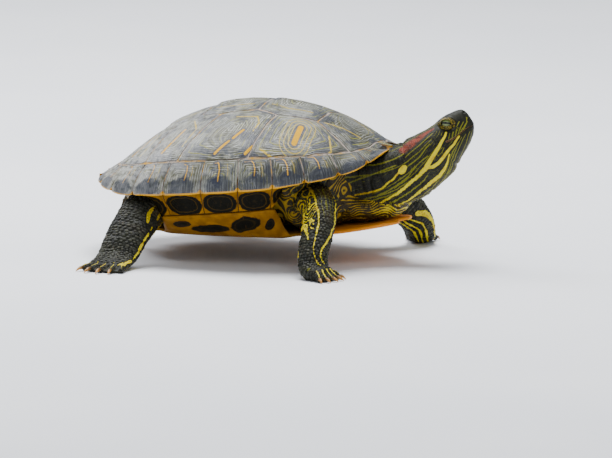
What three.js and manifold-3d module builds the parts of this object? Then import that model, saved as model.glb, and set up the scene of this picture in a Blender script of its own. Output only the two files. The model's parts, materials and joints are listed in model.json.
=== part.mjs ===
// Red-eared slider turtle, life size, standing with its neck stretched forward and up.
// Millimetres, +Z up, head towards +X, left side towards +Y. The feet stand on z = 0.
import * as THREE from "three";
import { mergeVertices } from "three/addons/utils/BufferGeometryUtils.js";
import Module from "manifold-3d";

const wasm = await Module();
wasm.setup();

// ---- Driving dimensions -------------------------------------------------------------------------
const GAP = 0.3; // clearance between neighbouring pieces
const SHELL = {
  halfLength: 100,
  halfWidth: 77,
  roundness: 2.2, // exponent of the plan outline
  rearFlare: 0.05, // how much wider the shell is behind than in front
  wall: 4, // bone and horn together
  archPower: 1.65, // cross-section of the dome: (1 - s^power)^drop
  archDrop: 0.51,
  seamRing: 0.895, // share of the outline where the marginal scutes begin
  seamRingRear: 0.035, // how much further in they begin at the rear
  lipRing: 0.9, // inner edge of the marginals' underside
  facets: 40, // around the rim
};
const ridgeHeight = profile([
  [-100, 48], [-92, 53.5], [-82, 60.8], [-69, 71.5], [-54, 82], [-40, 89.5], [-22, 96.5],
  [0, 101], [20, 101.7], [40, 99], [55, 94.5], [71, 87.3], [83, 80.5], [93, 76.3], [100, 75],
]);
const rimHeight = profile([
  [-100, 48], [-84, 45], [-66, 43.5], [-40, 46], [0, 50],
  [40, 54], [68, 58.5], [84, 62.5], [93, 67.5], [100, 75],
]);
const BRIDGE = { front: 41, rear: -36, fade: 9, overlap: 2, drop: 15, root: 47 };
const PLASTRON = { wall: 5, edgeLift: 1.2, bridgeRing: 0.893, underRim: 0.8 };
const plastronHeight = profile([
  [-88, 17], [-40, 17.5], [0, 18], [53, 19.5], [72, 20.8], [88, 23], [106, 26],
]);
const lobeHalfWidth = profile([
  [-82, 14], [-77, 27], [-66, 38], [-52, 44], [38, 46], [55, 42], [75, 35], [92, 26], [104, 17],
]);
const TRUNK = {
  ring: 0.835, // share of the outline that the skin between the shells reaches
  underRings: [0.72, 0.55, 0.3, 0],
  clearance: 0.7,
  faceDepth: 9,
  socketRise: 1.05, // slope of the skin above the plastron's free edges
  bridgeRise: 10,
};

const HEAD = { tip: [149.4, 10, 91], pitch: 32, yaw: 14, length: 42, mouthLength: 20, jawCut: 0.15 };
const EYE = { radius: 4.1, behindTip: 13.3, above: 9.4, aside: 6.1 };
const TOE = { width: 4.8, height: 2.3, clawBase: 2.6 };

// ---- Helpers ------------------------------------------------------------------------------------
// A smooth curve through [x, y] points with no overshoot, level beyond its ends.
function profile(points) {
  const rise = points.slice(1).map(([x, y], i) => (y - points[i][1]) / (x - points[i][0]));
  const slope = points.map((_, i) => {
    if (i === 0 || i === rise.length) return rise[Math.min(i, rise.length - 1)];
    const product = rise[i - 1] * rise[i];
    return product <= 0 ? 0 : (2 * product) / (rise[i - 1] + rise[i]);
  });
  return (x) => {
    if (x <= points[0][0]) return points[0][1];
    if (x >= points.at(-1)[0]) return points.at(-1)[1];
    const i = points.findIndex(([edge]) => edge > x) - 1;
    const width = points[i + 1][0] - points[i][0];
    const t = (x - points[i][0]) / width;
    const value = points[i][1] * (1 + 2 * t) * (1 - t) ** 2 + points[i + 1][1] * t * t * (3 - 2 * t);
    return value + width * t * (1 - t) * (slope[i] * (1 - t) - slope[i + 1] * t);
  };
}

const smooth = THREE.MathUtils.smoothstep;
const { lerp, degToRad } = THREE.MathUtils;
const vector = (x, y, z) => new THREE.Vector3(x, y, z);

// A closed surface on a sphere's grid: place(u, v) is the point at turn u of ring v, and the two end
// rings each close on one point.
function wrap(around, along, place) {
  const geometry = new THREE.SphereGeometry(1, around, along);
  const { position, uv } = geometry.attributes;
  for (let i = 0; i < position.count; i++) {
    const point = place((uv.getX(i) + 1) % 1, 1 - uv.getY(i));
    position.setXYZ(i, point.x, point.y, point.z);
  }
  return solid(geometry);
}

function solid(geometry) {
  geometry.deleteAttribute("normal");
  geometry.deleteAttribute("uv");
  const merged = mergeVertices(geometry, 1e-3);
  const triVerts = new Uint32Array(merged.index.array);
  const vertProperties = merged.attributes.position.array;
  const mesh = () => new wasm.Mesh({ numProp: 3, vertProperties, triVerts });
  const made = new wasm.Manifold(mesh());
  if (made.volume() > 0) return made;
  // An inside-out surface has the order of its triangles' corners turned round.
  triVerts.reverse();
  return new wasm.Manifold(mesh());
}

// A limb, neck, head or tail over stations {at, size: [width, up, down], across}. Its ends are flat.
function loft(stations, around, along, power = 2.2) {
  const curve = new THREE.CatmullRomCurve3(stations.map(({ at }) => vector(...at)), false, "centripetal");
  const last = stations.length - 1;
  const blend = (t, read) => {
    const i = Math.min(Math.floor(t * last), last - 1);
    const share = smooth(t * last - i, 0, 1) * 0.4 + (t * last - i) * 0.6;
    return lerp(read(stations[i]), read(stations[i + 1]), share);
  };
  return wrap(around, along, (u, v) => {
    const t = THREE.MathUtils.clamp((v * along - 1) / (along - 2), 0, 1);
    const centre = curve.getPoint(t);
    const tangent = curve.getTangent(t);
    const across = vector(...[0, 1, 2].map((axis) => blend(t, ({ across: a = [1, 0, 0] }) => a[axis])));
    across.addScaledVector(tangent, -across.dot(tangent)).normalize();
    const up = tangent.clone().cross(across);
    const atEnd = v < 0.5 / along || v > 1 - 0.5 / along;
    const angle = u * 2 * Math.PI;
    const round = (c) => Math.sign(c) * Math.abs(c) ** (2 / power);
    const half = atEnd ? 0 : blend(t, ({ size }) => size[0]) / 2;
    const heightOf = ({ size: [, top, bottom = top] }) => (Math.sin(angle) > 0 ? top : bottom);
    const rise = atEnd ? 0 : blend(t, heightOf);
    centre.addScaledVector(across, half * round(Math.cos(angle)));
    return centre.addScaledVector(up, rise * round(Math.sin(angle)));
  });
}

function prism(points, low, high) {
  const shape = new THREE.Shape(points.map(([x, y]) => new THREE.Vector2(x, y)));
  const block = new THREE.ExtrudeGeometry(shape, { depth: high - low, bevelEnabled: false });
  return solid(block.translate(0, 0, low));
}

// A closed outline moved inwards by a distance, corner by corner.
function inset(points, distance) {
  const turn = Math.sign(THREE.ShapeUtils.area(points.map(([x, y]) => ({ x, y }))));
  return points.map((point, i) => {
    const before = points.at(i - 1);
    const after = points[(i + 1) % points.length];
    const normals = [[before, point], [point, after]].map(([from, to]) =>
      new THREE.Vector2(from[1] - to[1], to[0] - from[0]).normalize().multiplyScalar(turn));
    const middle = normals[0].clone().add(normals[1]).normalize();
    const reach = distance / Math.max(middle.dot(normals[0]), 0.4);
    return [point[0] + middle.x * reach, point[1] + middle.y * reach];
  });
}

const mirrored = (points) => points.map(([x, y]) => [x, -y]);

// ---- Shell --------------------------------------------------------------------------------------
function halfWidthAt(x) {
  const { halfLength, halfWidth, roundness, rearFlare } = SHELL;
  const share = Math.min(Math.abs(x / halfLength), 1) ** roundness;
  return halfWidth * (1 - share) ** (1 / roundness) * (1 - (rearFlare * x) / halfLength);
}

function outlinePoint(u) {
  const [c, s] = [Math.cos(u * 2 * Math.PI), Math.sin(u * 2 * Math.PI)];
  const x = SHELL.halfLength * Math.sign(c) * Math.abs(c) ** (2 / SHELL.roundness);
  return [x, Math.sign(s) * halfWidthAt(x)];
}

function domeHeight(x, y) {
  const reach = Math.min(Math.abs(y) / Math.max(halfWidthAt(x), 0.01), 1);
  const share = (1 - reach ** SHELL.archPower) ** SHELL.archDrop;
  return lerp(rimHeight(x), ridgeHeight(x), share);
}

// One where the bridges join the shells, fading to nothing at the leg openings.
function bridgeShare(x) {
  const { front, rear, fade, overlap } = BRIDGE;
  return smooth(x, rear - fade, rear + overlap) * (1 - smooth(x, front - overlap, front + fade));
}
const lipHeight = (x) => rimHeight(x / SHELL.lipRing) + 1 - (BRIDGE.drop + 1) * bridgeShare(x);

// The carapace as one cap; grow thickens it for clearance.
const DOME_RINGS = [0, 0.2, 0.39, 0.57, 0.73, 0.86, 0.94, 1];
const INSIDE_RINGS = [0.85, 0.6, 0];
const underside = (x, y) => domeHeight(x * 1.04, y * 1.04) - SHELL.wall;

function carapaceSolid(grow = 0) {
  const rings = [...DOME_RINGS, SHELL.lipRing, ...INSIDE_RINGS];
  return wrap(SHELL.facets, rings.length - 1, (u, v) => {
    const k = Math.round(v * (rings.length - 1));
    const [x, y] = outlinePoint(u).map((edge) => edge * rings[k]);
    if (k < DOME_RINGS.length) return vector(x, y, domeHeight(x, y));
    if (k === DOME_RINGS.length) return vector(x, y, lipHeight(x) - grow);
    return vector(x, y, underside(x, y) - grow);
  });
}

// The point on the outline shrunk to a share, at a given x.
const ringPoint = (x, ring) => [x, ring * halfWidthAt(x / ring)];
const seamRingAt = (x) => SHELL.seamRing - SHELL.seamRingRear * Math.max(0, -x / SHELL.halfLength);
const seamPoint = (x) => ringPoint(x, seamRingAt(x));

// Where the seams between scutes meet, on the left side: [x, y], or x alone along a ring.
const SEAM = {
  front: 88.1, shoulder: 81, hip: -74, rear: -84.9,
  vertebral: {
    front1: [54.5, 20], side2: [28.8, 27], front3: [14, 22], side3: [-9.7, 28],
    front4: [-25, 22], side4: [-42, 25], front5: [-58, 17],
  },
  costalFoot: [24.5, -24, -50],
  marginal: [99.87, 93, 80, 62, 43, 21, -4, -31, -55, -75, -89, -97.2],
};
const marginalRing = SEAM.marginal.map((x, i) => (i ? x * seamRingAt(x) : SEAM.front));
const corners = [SEAM.front, SEAM.shoulder, SEAM.hip, SEAM.rear, ...SEAM.costalFoot, ...marginalRing];
const between = [71, 47, 9, -14, -38, -64];
const seamStops = [...new Set([...corners, ...between])].sort((a, b) => b - a);

// The inner seam of the marginals between two of its corners, through every corner on the way.
function seamRun(from, to) {
  const run = seamStops.filter((x) => x <= Math.max(from, to) && x >= Math.min(from, to));
  return (from > to ? run : run.reverse()).map(seamPoint);
}

function scuteOutlines() {
  const { front1, side2, front3, side3, front4, side4, front5 } = SEAM.vertebral;
  const [foot1, foot2, foot3] = SEAM.costalFoot;
  const both = (half) => [...half, ...mirrored(half).reverse()];
  const rimPoint = (x) => ringPoint(x, 1).map((value) => value * 1.06);
  const outlines = {
    nuchal: both([seamPoint(SEAM.front), rimPoint(SEAM.marginal[0])]),
    vertebral_1: both([front1, ...seamRun(SEAM.shoulder, SEAM.front)]),
    vertebral_2: both([front3, side2, front1]),
    vertebral_3: both([front4, side3, front3]),
    vertebral_4: both([front5, side4, front4]),
    vertebral_5: both([front5, ...seamRun(SEAM.hip, SEAM.rear)]),
  };
  const costals = [
    [front1, ...seamRun(SEAM.shoulder, foot1), side2],
    [side2, ...seamRun(foot1, foot2), side3, front3],
    [side3, ...seamRun(foot2, foot3), side4, front4],
    [side4, ...seamRun(foot3, SEAM.hip), front5],
  ];
  const marginals = SEAM.marginal.map((x, i) => {
    const [next, nextRing] = [SEAM.marginal[i + 1] ?? -SHELL.halfLength, marginalRing[i + 1] ?? SEAM.rear];
    const inner = seamRun(marginalRing[i], nextRing);
    const outer = [1, 0.67, 0.33, 0].map((share) => rimPoint(lerp(x, next, share)));
    return i === SEAM.marginal.length - 1 ? [...inner, [SEAM.rear, 0], ...outer] : [...inner, ...outer];
  });
  for (const [name, list] of [["costal", costals], ["marginal", marginals]]) {
    list.forEach((outline, i) => {
      outlines[`${name}_left_${i + 1}`] = outline;
      outlines[`${name}_right_${i + 1}`] = mirrored(outline);
    });
  }
  return outlines;
}

// The plastron with its two bridges, as one plate.
function plastronOuter(x, y) {
  const [, edge] = ringPoint(x, PLASTRON.bridgeRing);
  const climb = (Math.abs(y) - BRIDGE.root) / Math.max(edge - BRIDGE.root, 1);
  const share = THREE.MathUtils.clamp(climb, 0, 1) ** 1.5;
  return lerp(plastronHeight(x), lipHeight(x) - PLASTRON.underRim, share);
}

function plastronOutline() {
  const half = [
    [101, 0], [106, 8], [105, 16], [98, 22], [88, 28.5], [75, 35], [62, 39.5],
    [53, 42.5], [48, 46], [44.5, 51], [42, 58],
    ...[39, 27, 9, -12, -27, -34].map((x) => ringPoint(x, PLASTRON.bridgeRing)),
    [-37, 58], [-39, 51], [-43, 46], [-54, 44], [-64, 39.5], [-73, 31], [-80, 19], [-82, 9], [-76, 0],
  ];
  return [...half, ...mirrored(half.slice(1, -1)).reverse()];
}

function plastronSolid(grow = 0) {
  const outline = plastronOutline();
  const rings = [0, 0.55, 0.82, 1, 1, 0.82, 0.55, 0];
  const firstTop = rings.length / 2;
  return wrap(outline.length, rings.length - 1, (u, v) => {
    const k = Math.round(v * (rings.length - 1));
    const [edgeX, edgeY] = outline[Math.round(u * outline.length) % outline.length];
    const [x, y] = [edgeX * rings[k], edgeY * rings[k]];
    const lift = rings[k] === 1 ? PLASTRON.edgeLift * (1 - bridgeShare(edgeX)) : 0;
    if (k < firstTop) return vector(x, y, plastronOuter(x, y) + lift - grow);
    return vector(x, y, plastronOuter(x, y) + PLASTRON.wall - lift + grow);
  });
}

// ---- Flesh --------------------------------------------------------------------------------------
// The trunk fills the shell and closes the leg, neck and tail openings with skin.
function trunkSolid(grow = 0) {
  const top = [...INSIDE_RINGS.slice(1).reverse(), TRUNK.ring];
  const rings = [...top, TRUNK.ring, ...TRUNK.underRings];
  return wrap(SHELL.facets, rings.length - 1, (u, v) => {
    const k = Math.round(v * (rings.length - 1));
    const [x, y] = outlinePoint(u).map((edge) => edge * rings[k]);
    const roof = underside(x, y) - TRUNK.clearance;
    const bridged = bridgeShare(x);
    const lobe = lobeHalfWidth(x);
    const floorAt = Math.min(Math.abs(y), lerp(lobe, Math.abs(y), bridged));
    const floor = plastronOuter(x, floorAt) + PLASTRON.wall + TRUNK.clearance;
    const socket = Math.max(0, Math.abs(y) - lobe + 4) * (1 - bridged) * TRUNK.socketRise;
    const under = floor + socket + bridged * smooth(Math.abs(y), 26, 52) * TRUNK.bridgeRise;
    if (k < top.length) return vector(x, y, Math.max(roof, under + 3) + grow);
    if (k === top.length) return vector(x, y, Math.min(roof - 3, under + TRUNK.faceDepth));
    return vector(x, y, Math.min(under, roof - 6) - grow);
  });
}

// Stations from shoulder or hip to knuckles: centre, [width, half-thickness] and the way the width lies.
const LIMBS = {
  front_right: [
    { at: [40, -26, 46], size: [24, 10] },
    { at: [57, -41, 46], size: [25, 10.5] },
    { at: [69, -54, 40], size: [23, 9.5] },
    { at: [73, -67, 27], size: [21, 7.6] },
    { at: [74, -77, 14.5], size: [19, 7], across: [0.9, 0.3, 0] },
    { at: [77, -82, 5.5], size: [19.5, 6.4], across: [0.6, 0.8, 0] },
    { at: [84.5, -84.5, 4.3], size: [18.5, 4.8], across: [0.35, 0.94, 0] },
  ],
  front_left: [
    { at: [40, 26, 46], size: [24, 10] },
    { at: [57, 40, 43], size: [25, 10.5] },
    { at: [73, 50, 36], size: [25, 9.5] },
    { at: [84, 60, 26], size: [24, 8.4], across: [0.93, 0.37, 0] },
    { at: [88, 69, 16], size: [22, 7.2], across: [0.93, 0.3, 0] },
    { at: [87, 77, 7.6], size: [20, 6.2], across: [0.97, 0.2, 0] },
    { at: [84, 86, 3.8], size: [18.5, 4.7], across: [0.97, 0.2, 0] },
  ],
  hind_right: [
    { at: [-38, -26, 39], size: [27, 10] },
    { at: [-46, -43, 38], size: [30, 12] },
    { at: [-50, -57, 33.5], size: [30, 11.5] },
    { at: [-53, -69, 25], size: [29.5, 9.4] },
    { at: [-55, -79, 16.5], size: [28.5, 7.6] },
    { at: [-57, -89, 6.6], size: [26.5, 5.6] },
    { at: [-58.5, -101, 2.9], size: [27, 3.5] },
  ],
  hind_left: [
    { at: [-38, 26, 39], size: [27, 10] },
    { at: [-47, 42, 38], size: [30, 12] },
    { at: [-54, 56, 33.5], size: [30, 11.5], across: [0.97, 0.25, 0] },
    { at: [-60, 67, 25], size: [29.5, 9.4], across: [0.92, 0.4, 0] },
    { at: [-65, 76, 16.5], size: [28.5, 7.6], across: [0.88, 0.48, 0] },
    { at: [-70, 84, 6.6], size: [26.5, 5.6], across: [0.86, 0.5, 0] },
    { at: [-76.5, 95, 2.9], size: [27, 3.5], across: [0.86, 0.5, 0] },
  ],
};
// Each foot points along a heading in plan and fans its toes evenly either side of it, in degrees.
const HAND = { fan: 56, toes: [5, 6.5, 7, 6.5, 5.5], claws: [4.5, 5, 5, 5, 4], wrist: 0.68 };
const PADDLE = { fan: 44, toes: [7, 9, 9.5, 9, 6.5], claws: [6, 6.5, 6.5, 6, 0], wrist: 0.66 };
const mirrorFoot = (foot) => ({ ...foot, toes: foot.toes.toReversed(), claws: foot.claws.toReversed() });
const FEET = {
  front_right: { ...HAND, heading: -20 },
  front_left: { ...mirrorFoot(HAND), heading: 102 },
  hind_right: { ...PADDLE, heading: -94 },
  hind_left: { ...mirrorFoot(PADDLE), heading: 120 },
};

// One toe and its claw, arching from the knuckles down to the floor along a heading in degrees.
function toe([x, y, z], heading, length, claw) {
  const [c, s] = [Math.cos(degToRad(heading)), Math.sin(degToRad(heading))];
  const across = [-s, c, 0];
  const station = (distance, height, width, half) =>
    ({ at: [x + c * distance, y + s * distance, height], size: [width, half], across });
  const { width, height, clawBase } = TOE;
  const flesh = [
    station(-5, z, width, height),
    station(length * 0.4, Math.max(z - 0.6, height), width, height * 1.05),
    station(length * 0.9, height * 0.88, width * 0.85, height),
  ];
  const horn = [
    station(length + 1, height, clawBase, clawBase * 0.5),
    station(length + claw * 0.6, height * 0.85, clawBase * 0.75, clawBase * 0.36),
    station(length + claw, 0.7, 0.6, 0.35),
  ];
  const bareTip = [station(length + 1, height * 0.9, width * 0.4, height * 0.4)];
  return claw ? loft([...flesh, ...horn], 5, 7, 2) : loft([...flesh, ...bareTip], 5, 5, 2);
}

function limb(name, keepOut) {
  const stations = LIMBS[name];
  const { heading, fan, toes, claws, wrist } = FEET[name];
  const { at: knuckles, size: [footWidth] } = stations.at(-1);
  const row = vector(-Math.sin(degToRad(heading)), Math.cos(degToRad(heading)), 0);
  let whole = loft(stations, 12, 11);
  toes.forEach((length, i) => {
    const share = i / (toes.length - 1) - 0.5;
    const root = row.clone().multiplyScalar(share * (footWidth - TOE.width)).add(vector(...knuckles));
    whole = whole.add(toe(root.toArray(), heading + share * fan, length, claws[i]));
  });
  // Everything below the floor is cut away, which leaves small flats under the foot.
  const ground = prism([[-200, -200], [200, -200], [200, 200], [-200, 200]], -40, 0);
  whole = whole.subtract(ground).subtract(keepOut);
  // A thin cut square to the limb parts the foot from the leg.
  const curve = new THREE.CatmullRomCurve3(stations.map(({ at }) => vector(...at)), false, "centripetal");
  const onward = new THREE.Quaternion().setFromUnitVectors(vector(0, 0, 1), curve.getTangent(wrist));
  const beyond = (start) => {
    const box = new THREE.BoxGeometry(120, 120, 120).translate(0, 0, 60 + start);
    return solid(box.applyQuaternion(onward).translate(...curve.getPoint(wrist).toArray()));
  };
  return { leg: largest(whole.subtract(beyond(0))), foot: largest(whole.intersect(beyond(GAP))) };
}

// The largest body of a solid, so that chips left by a cut are dropped.
const largest = (body) => body.decompose().sort((a, b) => b.volume() - a.volume())[0];

// Head frame: forward, left and up axes, and a point at a distance behind the tip, aside and above.
const headTurn = new THREE.Matrix4().makeRotationFromEuler(
  new THREE.Euler(0, -degToRad(HEAD.pitch), degToRad(HEAD.yaw), "ZYX"));
const headAxis = (x, y, z) => vector(x, y, z).applyMatrix4(headTurn);
const headPoint = (behind, aside, above) => headAxis(-behind, aside, above).add(vector(...HEAD.tip));
const headLeft = headAxis(0, 1, 0).toArray();

// Neck and head as one body: the head's stations run back from the beak along the mouth line.
function headAndNeck() {
  // [behind the tip, width, above the mouth line, below it]
  const head = [
    [50, 32.5, 14.5, 24], [42, 31.5, 14.2, 22.8], [34, 31, 13.4, 21.6], [27, 30, 12.9, 20.2],
    [22, 27.6, 13.3, 17.6], [17, 24, 14.3, 14.4], [12, 20.4, 14.6, 12], [8, 17, 14.2, 9.8],
    [4, 13.2, 13.6, 6.8], [1.3, 10.2, 12.6, 3.8], [0, 7.5, 10.8, 1.6],
  ].map(([behind, ...size]) => ({ at: headPoint(behind, 0, 0).toArray(), size, across: headLeft }));
  const neck = [
    { at: [40, 0, 58], size: [38, 15, 17], across: [0, 1, 0] },
    { at: [60, 0, 56], size: [44, 16, 20], across: [0, 1, 0] },
    { at: [80, -0.5, 57], size: [43, 16, 22], across: [0, 1, 0] },
    { at: [95, -0.8, 59.5], size: [38, 15.5, 23.5], across: [-0.08, 1, 0] },
  ];
  return loft([...neck, ...head], 16, 24, 2.25);
}

const TAIL = [
  { at: [-60, 0, 41], size: [17, 7] },
  { at: [-74, -1, 37.5], size: [15, 6.4] },
  { at: [-83, -2.5, 31], size: [11, 5] },
  { at: [-86.5, -4.5, 23], size: [7.6, 3.7] },
  { at: [-86.5, -6.5, 15.5], size: [4.8, 2.4] },
  { at: [-84.5, -8.5, 9], size: [1.8, 0.9] },
].map((station) => ({ ...station, across: [0, 1, 0] }));

// A box in the head's frame between two corners given as behind, aside, above.
function headBox([behind0, aside0, above0], [behind1, aside1, above1]) {
  const box = new THREE.BoxGeometry(behind1 - behind0, aside1 - aside0, above1 - above0);
  box.translate(-(behind0 + behind1) / 2, (aside0 + aside1) / 2, (above0 + above1) / 2).applyMatrix4(headTurn);
  return solid(box.translate(...HEAD.tip));
}

function eyeSolid(side, grow = 0) {
  const { x, y, z } = headPoint(EYE.behindTip, side * EYE.aside, EYE.above);
  return solid(new THREE.SphereGeometry(EYE.radius + grow, 12, 8).translate(x, y, z));
}

// ---- Assembly -----------------------------------------------------------------------------------
// Colour and roughness of each finish.
const FINISHES = {
  scute: [0x6c6f66, 0.5],
  plastron: [0xd39a2c, 0.45],
  skin: [0x33362c, 0.6],
  head: [0x3a4238, 0.5],
  eye: [0x1c2018, 0.15],
};

function meshOf(name, body, finish) {
  const { numProp, vertProperties, triVerts, numVert } = body.getMesh();
  const positions = new Float32Array(numVert * 3);
  for (let i = 0; i < numVert; i++) positions.set(vertProperties.subarray(i * numProp, i * numProp + 3), i * 3);
  const geometry = new THREE.BufferGeometry()
    .setAttribute("position", new THREE.BufferAttribute(positions, 3))
    .setIndex(new THREE.BufferAttribute(triVerts, 1));
  geometry.computeVertexNormals();
  const [color, roughness] = FINISHES[finish];
  const mesh = new THREE.Mesh(geometry, new THREE.MeshStandardMaterial({ color, roughness, metalness: 0 }));
  mesh.name = name;
  return mesh;
}

const turtle = new THREE.Group();
const put = (name, body, finish) => turtle.add(meshOf(name, body, finish));

const carapace = carapaceSolid();
for (const [name, outline] of Object.entries(scuteOutlines())) {
  put(name, largest(carapace.intersect(prism(inset(outline, GAP / 2), 0, 130))), "scute");
}

const plastron = plastronSolid().subtract(carapaceSolid(GAP));
const strip = (low, high) => prism([[-130, low], [130, low], [130, high], [-130, high]], 0, 130);
put("plastron", largest(plastron.intersect(strip(-BRIDGE.root - 1, BRIDGE.root + 1))), "plastron");
put("bridge_left", largest(plastron.intersect(strip(BRIDGE.root + 1 + GAP, 100))), "plastron");
put("bridge_right", largest(plastron.intersect(strip(-100, -BRIDGE.root - 1 - GAP))), "plastron");

put("trunk", trunkSolid(), "skin");
const keepOut = trunkSolid(GAP).add(plastronSolid(GAP)).add(carapaceSolid(GAP));
for (const end of ["front", "hind"]) {
  for (const side of ["left", "right"]) {
    const { leg, foot } = limb(`${end}_${side}`, keepOut);
    put(`${end}_leg_${side}`, leg, "skin");
    put(`${end}_foot_${side}`, foot, "skin");
  }
}
put("tail", largest(loft(TAIL, 10, 10).subtract(keepOut)), "skin");

const stretch = headAndNeck();
const farAway = 60;
const behindHead = headBox([HEAD.length, -farAway, -farAway], [HEAD.length + 3 * farAway, farAway, farAway]);
const beforeNeck = headBox([-farAway, -farAway, -farAway], [HEAD.length + GAP, farAway, farAway]);
const sockets = eyeSolid(1, GAP).add(eyeSolid(-1, GAP));
const headWhole = stretch.subtract(behindHead).subtract(sockets);
const jawBox = (length, height) => headBox([-5, -30, -40], [length, 30, height]);
put("neck", largest(stretch.subtract(beforeNeck).subtract(keepOut)), "skin");
put("head", largest(headWhole.subtract(jawBox(HEAD.mouthLength, HEAD.jawCut))), "head");
put("lower_jaw", largest(headWhole.intersect(jawBox(HEAD.mouthLength - GAP, -HEAD.jawCut))), "head");
put("eye_left", eyeSolid(1), "eye");
put("eye_right", eyeSolid(-1), "eye");

// The origin is on the floor under the middle of the whole animal.
turtle.updateMatrixWorld(true);
const bounds = new THREE.Box3().setFromObject(turtle, true);
turtle.position.set(-(bounds.min.x + bounds.max.x) / 2, -(bounds.min.y + bounds.max.y) / 2, -bounds.min.z);

export default turtle;
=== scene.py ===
import json
import math

import bmesh
import bpy
import numpy as np
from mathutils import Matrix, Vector
from mathutils.kdtree import KDTree

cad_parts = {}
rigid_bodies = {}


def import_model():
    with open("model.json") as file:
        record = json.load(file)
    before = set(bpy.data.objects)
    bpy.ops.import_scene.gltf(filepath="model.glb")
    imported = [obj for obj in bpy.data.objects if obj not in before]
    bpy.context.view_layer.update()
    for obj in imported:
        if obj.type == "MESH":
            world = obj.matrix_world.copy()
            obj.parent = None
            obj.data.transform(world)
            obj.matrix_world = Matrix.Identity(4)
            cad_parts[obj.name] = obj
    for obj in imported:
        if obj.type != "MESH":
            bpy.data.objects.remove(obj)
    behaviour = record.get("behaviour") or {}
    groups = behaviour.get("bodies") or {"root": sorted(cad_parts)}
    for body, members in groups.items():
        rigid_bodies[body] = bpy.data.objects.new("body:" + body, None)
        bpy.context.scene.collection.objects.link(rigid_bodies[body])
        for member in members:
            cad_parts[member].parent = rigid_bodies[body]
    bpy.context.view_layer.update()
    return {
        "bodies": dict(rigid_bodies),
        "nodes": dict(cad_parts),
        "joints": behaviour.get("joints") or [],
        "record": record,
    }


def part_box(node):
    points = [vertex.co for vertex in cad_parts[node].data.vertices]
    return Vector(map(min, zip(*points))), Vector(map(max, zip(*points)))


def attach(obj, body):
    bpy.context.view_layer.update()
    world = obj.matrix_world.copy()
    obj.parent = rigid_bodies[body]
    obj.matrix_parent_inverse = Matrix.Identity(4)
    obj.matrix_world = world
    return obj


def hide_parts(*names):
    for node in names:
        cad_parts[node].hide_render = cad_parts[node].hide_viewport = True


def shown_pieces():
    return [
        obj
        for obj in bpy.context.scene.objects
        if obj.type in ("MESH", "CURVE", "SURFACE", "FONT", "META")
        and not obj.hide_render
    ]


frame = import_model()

rng = np.random.default_rng(31)

# everything is shaped in millimetres round the middle of the shell, then moved into the frame
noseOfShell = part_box("nuchal")[1].x * 1000
plastronLow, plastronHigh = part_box("plastron")
shellMiddle = np.array([noseOfShell - 100, (plastronLow.y + plastronHigh.y) * 500, 0])

shell = {
    "halfLength": 100,
    "halfWidth": 77,
    "roundness": 2.2,
    "rearFlare": 0.05,
    "wall": 4,
    "archPower": 1.65,
    "archDrop": 0.51,
    "seamRing": 0.895,      # share of the outline where the marginals begin
    "seamRingRear": 0.035,
    "lipRing": 0.9,
    "seamWidth": 0.42,
    "seamDepth": 0.55,
}
bridge = {"front": 41, "rear": -36, "fade": 9, "overlap": 2, "drop": 15, "root": 47}
belly = {"wall": 5, "edgeLift": 1.2, "bridgeRing": 0.893, "underRim": 0.8, "across": 90,
         "wander": 0.9, "swell": 0.4, "groove": 0.05, "seam": 0.35}
trunk = {"ring": 0.835, "clearance": 0.7, "faceDepth": 9, "socketRise": 1.05, "bridgeRise": 10}
head = {"tip": (149.4, 10, 91), "pitch": 32, "yaw": 14}
eye = {"radius": 4.1, "behind": 13.3, "above": 9.4, "aside": 6.1, "slitTilt": 34, "bulge": 0.18,
       "rows": 34, "around": 56}
# grain of the skin's mesh, how far the lofts stand in; points round and along each loft, and its squareness
skin = {"voxel": 0.64, "coat": 0.35, "neck": (110, 260, 2.25), "chest": (90, 110, 2.2), "tail": (40, 70, 2.2),
        "limb": (80, 160, 2.2), "toe": (28, 34, 2)}


# small helpers for shapes
def curveThrough(points):
    xs, ys = np.array(points, float).T
    rise = np.diff(ys) / np.diff(xs)
    slope = np.empty_like(ys)
    slope[0], slope[-1] = rise[0], rise[-1]
    product = rise[:-1] * rise[1:]
    total = np.where(product > 0, rise[:-1] + rise[1:], 1)
    slope[1:-1] = np.where(product > 0, 2 * product / total, 0)

    def at(x):
        x = np.clip(x, xs[0], xs[-1])
        i = np.clip(np.searchsorted(xs, x, side="right") - 1, 0, len(xs) - 2)
        width = xs[i + 1] - xs[i]
        t = (x - xs[i]) / width
        value = ys[i] * (1 + 2 * t) * (1 - t) ** 2 + ys[i + 1] * t * t * (3 - 2 * t)
        return value + width * t * (1 - t) * (slope[i] * (1 - t) - slope[i + 1] * t)
    return at


def ramp(x, low, high):
    t = np.clip((x - low) / (high - low), 0, 1)
    return t * t * (3 - 2 * t)


def mix(a, b, share):
    return a + (b - a) * share


def bell(x, middle, width):
    return np.exp(-((x - middle) / width) ** 2)


def unit(vectors, least=1e-9):
    return vectors / (np.linalg.norm(vectors, axis=-1)[..., None] + least)


def turnedFrom(angle, middle):
    # degrees between an angle and a middle one, 0 to 180
    return np.abs(np.mod(angle - middle + 180, 360) - 180)


def fromLine(x):
    # distance to the nearest of evenly spaced lines, one apart
    return np.abs(np.mod(x, 1) - 0.5)


def hashed(ix, iy, iz, seed):
    h = (ix * 73856093) ^ (iy * 19349663) ^ (iz * 83492791) ^ (seed * 2654435761)
    h = (h & 0xFFFFFFFF).astype(np.uint64)
    h = ((h ^ (h >> np.uint64(15))) * np.uint64(2246822519)) & np.uint64(0xFFFFFFFF)
    h = ((h ^ (h >> np.uint64(13))) * np.uint64(3266489917)) & np.uint64(0xFFFFFFFF)
    return (h ^ (h >> np.uint64(16))).astype(float) / 4294967295 * 2 - 1


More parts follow.
